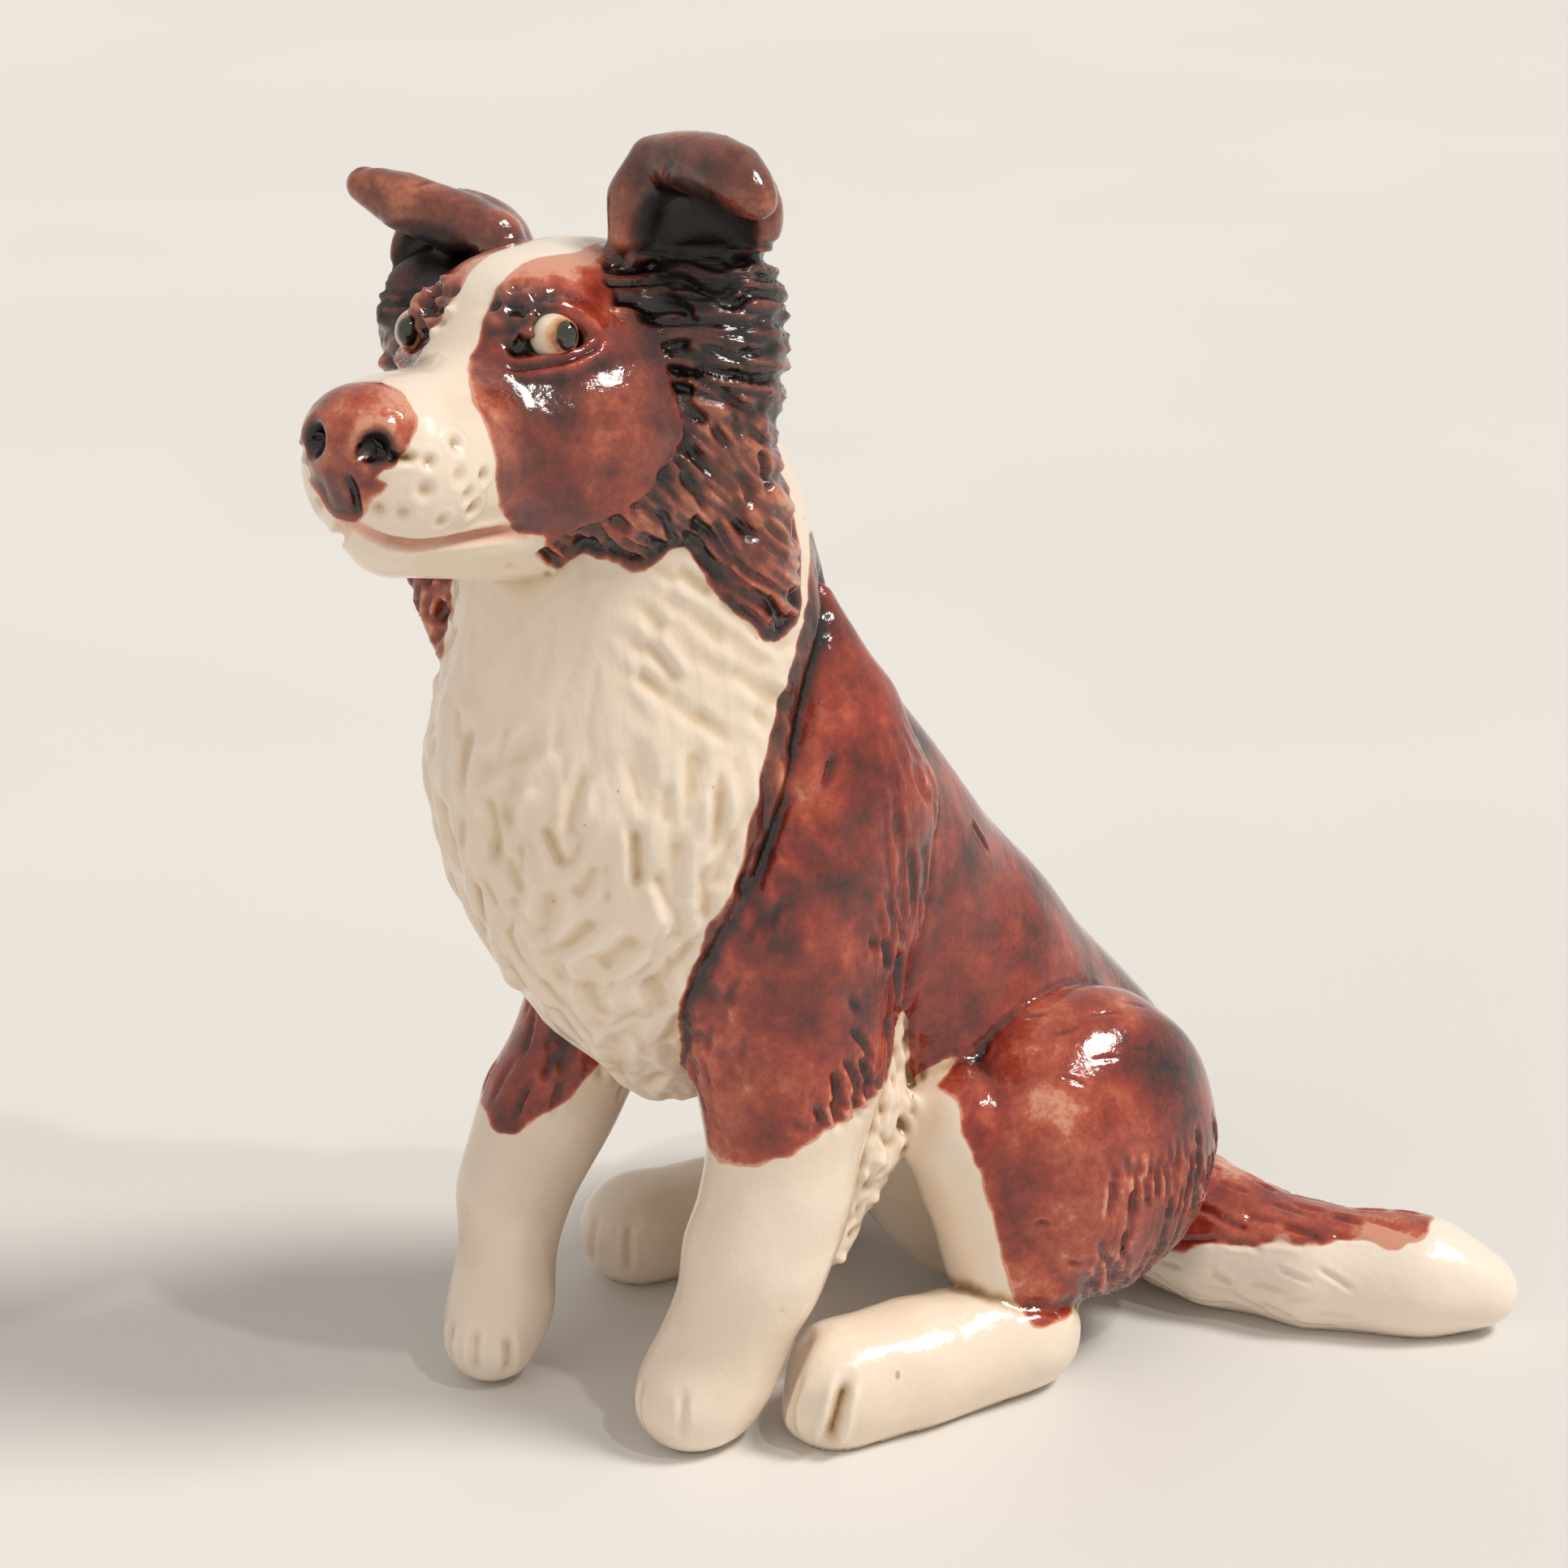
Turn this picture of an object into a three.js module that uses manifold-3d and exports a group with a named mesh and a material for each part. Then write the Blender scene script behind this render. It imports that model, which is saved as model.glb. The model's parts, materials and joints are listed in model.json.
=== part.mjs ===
// A hand-modelled ceramic figurine of a sitting collie, about 142 mm tall, in glazed stoneware.
// Each piece of clay that the maker rolled, pressed on and luted to its neighbours is one mesh.
// Millimetres. x runs to the dog's left, y to its tail and z up, and the dog looks along -y.
import * as THREE from "three";
import { mergeVertices } from "three/addons/utils/BufferGeometryUtils.js";
import Module from "manifold-3d";

const wasm = await Module();
wasm.setup();

const at = (x, y, z) => new THREE.Vector3(x, y, z);
const radians = THREE.MathUtils.degToRad;

// Driving sizes. A line of clay is given as stations of x, y, z and radius.
const lutingGap = 0.3; // what is left between two pieces that were pressed together
const softness = 5; // how wide two lumps run into each other
const fineBlend = 1; // the same for the small coils of the eyes and nostrils

const trunkLine = [
  [0, 22, 80, 12],
  [0, 27.3, 62, 18],
  [0, 43.7, 42, 17.5],
  [0, 59, 20.8, 21],
];
const trunkWidth = 0.88; // width over depth

const chestLine = [
  [0, 7, 105, 16.6],
  [0, 9, 91, 18.6],
  [0, 6.8, 75, 19.7],
  [0, 8, 64, 18.3],
  [0, 9.8, 52, 12.5],
  [0, 12, 40, 6],
];
const chestWidth = 0.95;

// Head: where it sits and how it is turned, then its lumps in its own frame
const headPlace = at(0, -1.5, 120.5);
const headYaw = 22; // degrees, to the dog's left
const headPitch = 6; // degrees, nose up
const headRoll = 6; // degrees, left ear up
const skullCentre = at(0, 3, -1.5);
const skullRadii = at(14.5, 14, 11);
const browCentre = at(0, -6, 0.5);
const browRadii = at(10, 7.5, 8);
const cheekCentre = at(8.5, -1, -10);
const cheekRadii = at(8, 12, 10);
const muzzleLine = [
  [0, -9, -9.8, 10.2],
  [0, -25, -9.5, 7.8],
];
const lipCentre = at(0, -26, -10);
const lipRadii = at(7.8, 6, 7.6);
const headSpine = [at(0, 5, -3), at(0, -10, -5), at(0, -25, -9)]; // inside the head, from poll to nose
const jawLine = [
  [0, -4, -15, 9],
  [0, -26, -15.6, 5],
];

const nosePadCentre = at(0, -29.5, -6.8);
const nosePadRadii = at(6.6, 5, 5.3);
const philtrumCentre = at(0, -29.5, -11.2);
const philtrumRadii = at(4.6, 4, 4.2);
const nostrilLine = [
  [3.4, -35.5, -8, 1.5],
  [2.4, -30.5, -7, 0.7],
];

const eyeCentre = at(8.35, -9.85, 1.1);
const eyeRadius = 2.7;
const eyeFacing = at(0.72, -0.69, 0.05); // the way the left socket opens
const pupilRadius = 1.25;
const leftGlance = at(0.83, -0.56, 0.05);
const rightGlance = at(0.1, -0.99, 0.1);
// lid stations: along the slit, above its middle, radius
const lowerLidLine = [
  [-4.2, -2.9, 0.7],
  [-1.8, -2.8, 1],
  [1.5, -2.6, 1],
  [4.6, -1, 0.6],
];
const upperLidLine = [
  [-3.6, 0.4, 0.8],
  [-2.1, 2.5, 1.2],
  [1, 2.8, 1.1],
  [3.9, 0.6, 0.7],
];

const leftEarCup = at(15, 6.5, 11.8);
const leftEarScoop = at(17.4, 0.5, 10.4);
const leftEarEdge = [
  [8.6, 2.6, 8.8, 2.1],
  [9.3, 2.8, 13.8, 2.2],
  [11.2, 3, 17.8, 1.8],
];
const leftEarFold = [
  [10.8, 3.4, 17.6, 2],
  [15, 3, 17.2, 2.2],
  [19, 2.2, 16.8, 2.5],
  [22.6, 1.2, 15.8, 2.4],
  [25.4, 0.4, 13.6, 1.8],
];
const rightEarCup = at(-15, 6, 7);
const rightEarScoop = at(-16.5, 0.5, 6.5);
const rightEarEdge = [
  [-6.8, 3.6, 6, 2],
  [-8.6, 3.4, 10, 2.2],
];
const rightEarFold = [
  [-8, 3.8, 9.8, 2],
  [-13.4, 3, 11, 2.4],
  [-18.4, 1.6, 12.8, 2.4],
  [-22.4, 0, 14.6, 2],
];
const earCupRadii = at(8.6, 5, 7);
const earScoopRadii = at(7.4, 6, 6.4);

const leftManeLine = [
  [15.2, 8, 2.8, 6.9],
  [14.3, 7.2, -4, 6.8],
  [13, 6.8, -12, 6.4],
  [15.5, 9, -21, 5.8],
  [18, 11, -27.5, 3],
];
const rightManeLine = [
  [-17, 4, 1.5, 6.3],
  [-16, 6, -5, 6.8],
  [-14.5, 7, -13, 7.5],
  [-15.5, 4.5, -22, 6],
  [-16, 3, -31, 3],
];
const maneFrontLine = [
  [14, 4, -13, 6],
  [11.5, -1, -15.5, 4.8],
  [8.5, -5.5, -16, 3],
];

// Forelegs: the shoulder slab, pressed flat against the side, and the limb below it
const slabWidth = 0.62;
const leftSlabLine = [
  [9, 22, 90, 4.5],
  [14, 24, 71, 11.8],
  [14, 20, 58, 13.9],
  [14, 18.6, 44, 12],
];
const leftLimbLine = [
  [15, 18, 40, 8.5],
  [15.5, 15.8, 28, 6.8],
  [15.2, 12.5, 20, 6.6],
  [13.2, 9, 8, 5.8],
  [13, 5.8, 5, 6],
];
const rightSlabLine = [
  [-9, 22, 90, 4.5],
  [-14, 24, 71, 11.8],
  [-14, 19.5, 58, 13.5],
  [-14, 15, 45, 9.5],
];
const rightLimbLine = [
  [-15, 13.5, 41, 8],
  [-13.8, 5, 29.5, 6.4],
  [-13.6, 0, 20.5, 5.2],
  [-13.2, -1.6, 8, 4.9],
  [-11.8, -4.2, 5, 5.2],
];
const leftFeatherLine = [
  [10, 29, 43, 6],
  [11.5, 27.5, 31, 5.5],
  [12, 24, 19, 3.5],
];
const rightFeatherLine = [
  [-10, 27, 45, 5],
  [-11, 24, 38, 4],
  [-11.5, 19, 32, 2],
];

// Hind legs: haunch, shank and the foot flat on the table
const haunchRadii = at(12, 17, 19);
const leftHaunch = [
  [19, 54, 24.5, 10],
  [21, 47, 30, 8.2],
];
const rightHaunch = [
  [-19, 54, 24.5, 10],
  [-21, 47, 30, 8.2],
];
const leftShank = [
  [17.5, 39.5, 30, 7.6],
  [20.5, 44.5, 10, 6.6],
];
const rightShank = [
  [-17.5, 40, 30, 7.4],
  [-20.5, 46, 10, 6.4],
];
const leftFoot = [
  [22.5, 43.5, 6, 6.5],
  [21, 30, 5.5, 6.6],
  [20.3, 20, 5.6, 7.3],
];
const rightFoot = [
  [-21.5, 47, 6, 6.2],
  [-23, 33, 5.2, 6],
  [-24.3, 23.5, 5.6, 6.8],
];

const tailLine = [
  [5, 72, 10, 8.4],
  [17, 74, 7.5, 7.4],
  [29, 80.5, 6, 6.2],
  [37, 88.5, 6, 6.2],
  [42.5, 93.5, 5, 4.4],
];

// The distance of a point from the skin of one lump of clay, negative inside it
const ball = (centre, radii) => {
  const q = at(0, 0, 0);
  return (p) => {
    q.copy(p).sub(centre).divide(radii);
    const near = q.length();
    const slope = q.divide(radii).length();
    return slope < 1e-9 ? -Math.min(radii.x, radii.y, radii.z) : (near * (near - 1)) / slope;
  };
};

// A tapered roll of clay from one point to another
const roll = (from, fromRadius, to, toRadius) => {
  const line = new THREE.Line3(from, to);
  const nearest = at(0, 0, 0);
  return (p) => {
    const share = line.closestPointToPointParameter(p, true);
    line.at(share, nearest);
    return nearest.distanceTo(p) - THREE.MathUtils.lerp(fromRadius, toRadius, share);
  };
};

// Lumps pressed together: their skins run into each other over the blend width
const pressed = (blend, ...lumps) => (p) => {
  let d = lumps[0](p);
  for (const lump of lumps.slice(1)) {
    const other = lump(p);
    const share = THREE.MathUtils.clamp(0.5 + (0.5 * (other - d)) / blend, 0, 1);
    d = THREE.MathUtils.lerp(other, d, share) - blend * share * (1 - share);
  }
  return d;
};

// A form made narrower across x about a given x
const narrowed = (factor, about, form) => {
  const q = at(0, 0, 0);
  return (p) => form(q.set(about + (p.x - about) / factor, p.y, p.z));
};

// A line of stations as rolls pressed end to end
const lineOf = (stations) => stations.map(([x, y, z]) => at(x, y, z));
const chain = (blend, stations) => {
  const points = lineOf(stations);
  const radii = stations.map((station) => station[3]);
  const rolls = points.slice(1).map((end, i) => roll(points[i], radii[i], end, radii[i + 1]));
  return pressed(blend, ...rolls);
};

// The other side of the dog
const mirroredPoint = (p) => at(-p.x, p.y, p.z);
const mirroredLine = (stations) => stations.map(([x, ...rest]) => [-x, ...rest]);

// The skin of a form as a closed mesh, found by rays cast from a line inside it
const rayStep = 0.8;
const rayHalvings = 12;
const quarterTurn = Math.PI / 2;
const leftwards = at(1, 0, 0);
const upwards = at(0, 0, 1);
function skin(form, spine, { rings = 12, sides = 18, capRings = 4, swell = 0, sideways = leftwards } = {}) {
  const curve = spine.length > 2 ? new THREE.CatmullRomCurve3(spine) : new THREE.LineCurve3(...spine);
  const probe = at(0, 0, 0);
  const inside = (origin, direction, far) => {
    probe.copy(origin).addScaledVector(direction, far);
    return form(probe) < swell;
  };
  const reach = (origin, direction) => {
    let far = 0;
    while (inside(origin, direction, far)) far += rayStep;
    let near = Math.max(0, far - rayStep);
    for (let i = 0; i < rayHalvings; i++) {
      const middle = (near + far) / 2;
      if (inside(origin, direction, middle)) near = middle;
      else far = middle;
    }
    return origin.clone().addScaledVector(direction, near);
  };
  const stations = [];
  const capLean = quarterTurn / (capRings + 1);
  for (let i = capRings; i > 0; i--) stations.push({ share: 0, lean: -i * capLean });
  for (let i = 0; i <= rings; i++) stations.push({ share: i / rings, lean: 0 });
  for (let i = 1; i <= capRings; i++) stations.push({ share: 1, lean: i * capLean });
  const points = [];
  for (const { share, lean } of stations) {
    const origin = curve.getPoint(share);
    const along = curve.getTangent(share).normalize();
    const across = sideways.clone().addScaledVector(along, -sideways.dot(along)).normalize();
    const over = at(0, 0, 0).crossVectors(along, across);
    for (let k = 0; k < sides; k++) {
      const turn = (k / sides) * 2 * Math.PI;
      const outward = across.clone().multiplyScalar(Math.cos(turn)).addScaledVector(over, Math.sin(turn));
      outward.multiplyScalar(Math.cos(lean)).addScaledVector(along, Math.sin(lean));
      points.push(reach(origin, outward));
    }
  }
  const firstPole = points.length;
  points.push(reach(curve.getPoint(0), curve.getTangent(0).normalize().negate()));
  points.push(reach(curve.getPoint(1), curve.getTangent(1).normalize()));
  const faces = [];
  const corner = (ring, k) => ring * sides + (k % sides);
  const lastRing = stations.length - 1;
  for (let k = 0; k < sides; k++) {
    faces.push(firstPole, corner(0, k + 1), corner(0, k));
    faces.push(firstPole + 1, corner(lastRing, k), corner(lastRing, k + 1));
    for (let ring = 0; ring < lastRing; ring++) {
      faces.push(corner(ring, k), corner(ring, k + 1), corner(ring + 1, k + 1));
      faces.push(corner(ring, k), corner(ring + 1, k + 1), corner(ring + 1, k));
    }
  }
  const geometry = new THREE.BufferGeometry().setFromPoints(points);
  geometry.setIndex(faces);
  return geometry;
}

// How finely each piece's skin is drawn: rings along it, sides round it, rings at each end
const detail = {
  trunk: { rings: 9, sides: 16 },
  chest: { rings: 10, sides: 18 },
  head: { rings: 11, sides: 20 },
  jaw: { rings: 6, sides: 12 },
  nose: { rings: 2, sides: 14 },
  nostril: { rings: 1, sides: 7, capRings: 1 },
  eyeball: { rings: 1, sides: 12, capRings: 3 },
  pupil: { rings: 1, sides: 10, capRings: 2 },
  lid: { rings: 5, sides: 6, capRings: 1 },
  mane: { rings: 7, sides: 12, capRings: 3 },
  maneFront: { rings: 3, sides: 10, capRings: 2 },
  earCup: { rings: 2, sides: 14, sideways: upwards },
  earEdge: { rings: 4, sides: 8, capRings: 2 },
  earFold: { rings: 7, sides: 8, capRings: 2 },
  foreleg: { rings: 14, sides: 12 },
  feather: { rings: 5, sides: 10, capRings: 2 },
  haunch: { rings: 3, sides: 14, sideways: upwards },
  shank: { rings: 4, sides: 12, capRings: 3 },
  foot: { rings: 6, sides: 14 },
  tail: { rings: 10, sides: 12 },
};

// Solids for joining and cutting
function solid(geometry) {
  return new wasm.Manifold(
    new wasm.Mesh({
      numProp: 3,
      vertProperties: new Float32Array(geometry.getAttribute("position").array),
      triVerts: new Uint32Array(geometry.index.array),
    }),
  );
}

function geometryOf(body) {
  const largest = body.decompose().sort((a, b) => b.volume() - a.volume())[0];
  const made = largest.getMesh();
  const geometry = new THREE.BufferGeometry();
  geometry.setAttribute("position", new THREE.BufferAttribute(new Float32Array(made.vertProperties), 3));
  geometry.setIndex(Array.from(made.triVerts));
  geometry.computeVertexNormals();
  return geometry;
}

// A piece of clay as a maker of solids: called with a swell, it gives the room that the piece takes up
const clay = (form, spine, options, place) => (swell = 0) => {
  const made = solid(skin(form, spine, { ...options, swell }));
  return place ? made.transform(place.elements) : made;
};
const cutBy = (body, ...cutters) => cutters.reduce((left, cutter) => left.subtract(cutter), body);

// The table top, as a block below z = 0 that cuts every foot flat
const tableSize = 400;
const tableBlock = new THREE.BoxGeometry(tableSize, tableSize, tableSize).translate(0, 0, -tableSize / 2);
tableBlock.deleteAttribute("normal");
tableBlock.deleteAttribute("uv");
const table = solid(mergeVertices(tableBlock));

const brownGlaze = { color: 0x7a2a1a, roughness: 0.25 };
const darkBrownGlaze = { color: 0x4a1a12, roughness: 0.3 };
const whiteGlaze = { color: 0xe9dfd0, roughness: 0.3 };
const pupilGlaze = { color: 0x171a12, roughness: 0.08 };

const dog = new THREE.Group();
const headGroup = new THREE.Group();
headGroup.position.copy(headPlace);
headGroup.rotation.set(-radians(headPitch), -radians(headRoll), radians(headYaw), "ZYX");
headGroup.updateMatrix();
const headToBody = headGroup.matrix;
const bodyToHead = headToBody.clone().invert();
dog.add(headGroup);

// Every solid is made in the body's frame; a piece of the head goes back to the head's own frame
function addPiece(group, name, body, glaze) {
  const placed = group === headGroup ? body.transform(bodyToHead.elements) : body;
  const mesh = new THREE.Mesh(geometryOf(placed), new THREE.MeshStandardMaterial(glaze));
  mesh.name = name;
  group.add(mesh);
}
const headClay = (form, spine, options) => clay(form, spine, options, headToBody);

// Trunk, from the withers down to the seat
const trunkForm = narrowed(trunkWidth, 0, chain(softness, trunkLine));
const trunk = clay(trunkForm, lineOf(trunkLine), detail.trunk);
const trunkRoom = trunk(lutingGap);
addPiece(dog, "trunk", trunk().subtract(table), brownGlaze);

// Head: skull, brow, cheeks and muzzle in one lump
const headBlend = 4;
const headForm = pressed(
  headBlend,
  ball(skullCentre, skullRadii),
  ball(browCentre, browRadii),
  chain(softness, muzzleLine),
  ball(lipCentre, lipRadii),
  ball(cheekCentre, cheekRadii),
  ball(mirroredPoint(cheekCentre), cheekRadii),
);
const head = headClay(headForm, headSpine, detail.head);
const jaw = headClay(chain(softness, jawLine), lineOf(jawLine), detail.jaw);
const headRoom = head(lutingGap);
const jawRoom = jaw(lutingGap);
const jawBody = jaw().subtract(headRoom);

// Neck and chest ruff in one piece, seated on the trunk and under the head
const chestForm = narrowed(chestWidth, 0, chain(softness, chestLine));
const chest = clay(chestForm, lineOf(chestLine), detail.chest);
const chestRoom = chest(lutingGap);
addPiece(dog, "neck_and_chest", cutBy(chest(), trunkRoom, headRoom, jawRoom), whiteGlaze);

// Nose pad, with a nostril pushed into each side
const noseBlend = 2;
const nostril = (line) => headClay(chain(fineBlend, line), lineOf(line), detail.nostril)();
const noseForm = pressed(noseBlend, ball(nosePadCentre, nosePadRadii), ball(philtrumCentre, philtrumRadii));
const noseSpine = [nosePadCentre, nosePadCentre.clone().lerp(philtrumCentre, 0.7)];
const nose = headClay(noseForm, noseSpine, detail.nose);
const nostrils = [nostril(nostrilLine), nostril(mirroredLine(nostrilLine))];
addPiece(headGroup, "nose_pad", cutBy(nose(), headRoom, jawRoom, ...nostrils), brownGlaze);
addPiece(headGroup, "lower_jaw", jawBody, whiteGlaze);

// Eyes: a ball of white clay in a socket, a raised bead for the pupil, and a lid laid above and below
const skinStep = 0.05;
const lidSink = 0.1; // how far a lid's middle lies under the skin, over its radius
const underSkin = 4; // where the search for the skin starts, below the eye's middle
const beadSink = 0.35; // how far the bead is pushed into the eyeball, over its radius
const beadSpread = 0.4;
const onSkin = (form, inside, outward, sink) => {
  const p = inside.clone();
  while (form(p) < -sink) p.addScaledVector(outward, skinStep);
  return p;
};
function lid(line, centre, facing, skinForm) {
  const along = at(-facing.y, facing.x, 0).normalize();
  if (facing.x < 0) along.negate();
  const stations = line.map(([across, above, radius]) => {
    const inside = centre.clone().addScaledVector(along, across).addScaledVector(upwards, above);
    inside.addScaledVector(facing, -underSkin);
    const place = onSkin(skinForm, inside, facing, radius * lidSink);
    return [place.x, place.y, place.z, radius];
  });
  return headClay(chain(fineBlend, stations), lineOf(stations), detail.lid);
}
let headBody = head();
for (const side of ["left", "right"]) {
  const turned = side === "left" ? (p) => p.clone() : mirroredPoint;
  const centre = turned(eyeCentre);
  const facing = turned(eyeFacing).normalize();
  const glance = (side === "left" ? leftGlance : rightGlance).clone().normalize();
  const eyeballForm = ball(centre, at(eyeRadius, eyeRadius, eyeRadius));
  const alongGlance = (middle, far) => middle.clone().addScaledVector(glance, far);
  const spineThrough = (middle, spread) => [alongGlance(middle, -spread), alongGlance(middle, spread)];
  const eyeball = headClay(eyeballForm, spineThrough(centre, beadSpread), detail.eyeball);
  const bead = centre.clone().addScaledVector(glance, eyeRadius - pupilRadius * beadSink);
  const beadForm = ball(bead, at(pupilRadius, pupilRadius, pupilRadius));
  const pupil = headClay(beadForm, spineThrough(bead, beadSpread / 2), detail.pupil);
  const skinForm = pressed(fineBlend, headForm, eyeballForm);
  const lowerLid = lid(lowerLidLine, centre, facing, skinForm);
  const upperLid = lid(upperLidLine, centre, facing, skinForm);
  const eyeballRoom = eyeball(lutingGap);
  const pupilRoom = pupil(lutingGap);
  const lidRooms = [lowerLid(lutingGap), upperLid(lutingGap)];
  headBody = cutBy(headBody, eyeballRoom, pupilRoom, ...lidRooms);
  addPiece(headGroup, `${side}_eyeball`, cutBy(eyeball(), ...lidRooms), whiteGlaze);
  addPiece(headGroup, `${side}_pupil`, cutBy(pupil(), eyeballRoom), pupilGlaze);
  addPiece(headGroup, `${side}_lower_eyelid`, cutBy(lowerLid(), pupilRoom), brownGlaze);
  const upperLidBody = cutBy(upperLid(), pupilRoom, lowerLid(lutingGap));
  addPiece(headGroup, `${side}_upper_eyelid`, upperLidBody, brownGlaze);
}
addPiece(headGroup, "head", headBody, brownGlaze);

// Manes: over each side of the head a tongue of clay hangs behind the cheek, and one runs forward below it
const tongue = (line, options) => headClay(chain(softness, line), lineOf(line), options);
function mane(line, frontLine) {
  const back = tongue(line, detail.mane);
  const front = tongue(frontLine, detail.maneFront);
  return (swell) => back(swell).add(front(swell));
}
const manes = {
  left: mane(leftManeLine, maneFrontLine),
  right: mane(rightManeLine, mirroredLine(maneFrontLine)),
};
const maneRooms = { left: manes.left(lutingGap), right: manes.right(lutingGap) };
for (const side of ["left", "right"]) {
  const body = cutBy(manes[side](), headRoom, jawRoom, trunkRoom, chestRoom);
  addPiece(headGroup, `${side}_mane`, body, darkBrownGlaze);
}

// Ears: a cup of clay, hollow in front, with a thick inner edge and a coil folded over to the outer side
const cupSpread = at(2, 0, 0);
const coilBlend = 3;
function ear(cupCentre, scoopCentre, edgeLine, foldLine) {
  const lump = (centre, radii) => {
    const spine = [centre.clone().sub(cupSpread), centre.clone().add(cupSpread)];
    return headClay(ball(centre, radii), spine, detail.earCup)();
  };
  const coil = (line, options) => headClay(chain(coilBlend, line), lineOf(line), options)();
  const cup = lump(cupCentre, earCupRadii).subtract(lump(scoopCentre, earScoopRadii));
  return cup.add(coil(edgeLine, detail.earEdge)).add(coil(foldLine, detail.earFold));
}
const ears = {
  left: ear(leftEarCup, leftEarScoop, leftEarEdge, leftEarFold),
  right: ear(rightEarCup, rightEarScoop, rightEarEdge, rightEarFold),
};
for (const side of ["left", "right"]) {
  addPiece(headGroup, `${side}_ear`, cutBy(ears[side], headRoom, maneRooms[side]), darkBrownGlaze);
}

// Forelegs: shoulder slab and limb in one piece, with a feather of clay behind each elbow
const bodyRooms = [trunkRoom, chestRoom, maneRooms.left, maneRooms.right];
function foreleg(slabLine, limbLine) {
  const [slabMiddle] = slabLine[1];
  const slab = narrowed(slabWidth, slabMiddle, chain(softness, slabLine));
  const form = pressed(softness, slab, chain(softness, limbLine));
  return clay(form, lineOf([...slabLine.slice(0, -1), ...limbLine]), detail.foreleg);
}
const feather = (line) => clay(chain(softness, line), lineOf(line), detail.feather);
const forelegs = {
  left: foreleg(leftSlabLine, leftLimbLine),
  right: foreleg(rightSlabLine, rightLimbLine),
};
const feathers = { left: feather(leftFeatherLine), right: feather(rightFeatherLine) };
const forelegRooms = {};
for (const side of ["left", "right"]) {
  forelegRooms[side] = forelegs[side](lutingGap);
  addPiece(dog, `${side}_foreleg`, cutBy(forelegs[side](), ...bodyRooms, table), brownGlaze);
  const featherBody = cutBy(feathers[side](), ...bodyRooms, forelegRooms[side]);
  addPiece(dog, `${side}_elbow_feather`, featherBody, whiteGlaze);
}

// Hind legs: each foot lies under its shank and haunch, and the haunch is pressed over the shank
const footBlend = 3;
function hindLeg(haunchLine, shankLine, footLine) {
  const [hip, knee] = lineOf(haunchLine);
  const form = pressed(softness, ball(hip, haunchRadii), chain(softness, haunchLine));
  return {
    haunch: clay(form, [hip, hip.clone().lerp(knee, 0.5)], detail.haunch),
    shank: clay(chain(softness, shankLine), lineOf(shankLine), detail.shank),
    foot: clay(chain(footBlend, footLine), lineOf(footLine), detail.foot),
  };
}
const hindLegs = {
  left: hindLeg(leftHaunch, leftShank, leftFoot),
  right: hindLeg(rightHaunch, rightShank, rightFoot),
};
const hindRooms = [];
for (const side of ["left", "right"]) {
  const { haunch, shank, foot } = hindLegs[side];
  const footRoom = foot(lutingGap);
  const haunchRoom = haunch(lutingGap);
  const rooms = [trunkRoom, forelegRooms[side], feathers[side](lutingGap), table];
  addPiece(dog, `${side}_hind_foot`, cutBy(foot(), ...rooms), whiteGlaze);
  addPiece(dog, `${side}_haunch`, cutBy(haunch(), footRoom, ...rooms), brownGlaze);
  addPiece(dog, `${side}_shank`, cutBy(shank(), footRoom, haunchRoom, ...rooms), whiteGlaze);
  hindRooms.push(footRoom, haunchRoom);
}

// Tail, lying on the table beside the left haunch
const tail = clay(chain(softness, tailLine), lineOf(tailLine), detail.tail);
addPiece(dog, "tail", cutBy(tail(), trunkRoom, ...hindRooms, table), brownGlaze);

// The origin is the middle of the footprint, on the table
const footprint = new THREE.Box3().setFromObject(dog, true).getCenter(at(0, 0, 0));
dog.position.set(-footprint.x, -footprint.y, 0);

export default dog;
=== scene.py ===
import itertools
import json
import math
import random

import bmesh
import bpy
import numpy as np
from mathutils import Euler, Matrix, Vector
from mathutils.bvhtree import BVHTree
from mathutils.kdtree import KDTree


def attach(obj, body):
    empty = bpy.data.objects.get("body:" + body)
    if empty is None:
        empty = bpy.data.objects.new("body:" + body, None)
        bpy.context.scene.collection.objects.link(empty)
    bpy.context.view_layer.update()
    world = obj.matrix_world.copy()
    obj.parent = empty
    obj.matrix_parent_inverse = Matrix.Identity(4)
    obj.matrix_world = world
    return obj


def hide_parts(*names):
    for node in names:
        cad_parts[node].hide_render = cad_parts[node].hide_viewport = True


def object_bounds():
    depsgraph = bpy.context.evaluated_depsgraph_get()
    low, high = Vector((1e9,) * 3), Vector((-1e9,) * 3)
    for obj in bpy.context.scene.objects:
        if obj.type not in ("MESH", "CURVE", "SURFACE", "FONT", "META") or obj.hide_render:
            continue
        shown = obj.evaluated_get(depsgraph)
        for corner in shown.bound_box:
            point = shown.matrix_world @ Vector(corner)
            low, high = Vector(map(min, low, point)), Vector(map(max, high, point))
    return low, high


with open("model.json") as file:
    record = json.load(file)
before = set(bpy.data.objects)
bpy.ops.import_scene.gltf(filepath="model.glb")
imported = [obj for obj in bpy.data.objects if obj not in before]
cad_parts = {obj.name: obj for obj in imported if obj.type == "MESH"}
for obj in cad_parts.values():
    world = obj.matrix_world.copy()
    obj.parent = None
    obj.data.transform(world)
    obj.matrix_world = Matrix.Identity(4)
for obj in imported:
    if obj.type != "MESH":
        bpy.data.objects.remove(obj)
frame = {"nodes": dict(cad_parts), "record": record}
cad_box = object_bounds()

MM = 0.001
FAR = 1e9  # millimetres, further than anything on the dog
rng = random.Random(11)

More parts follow.
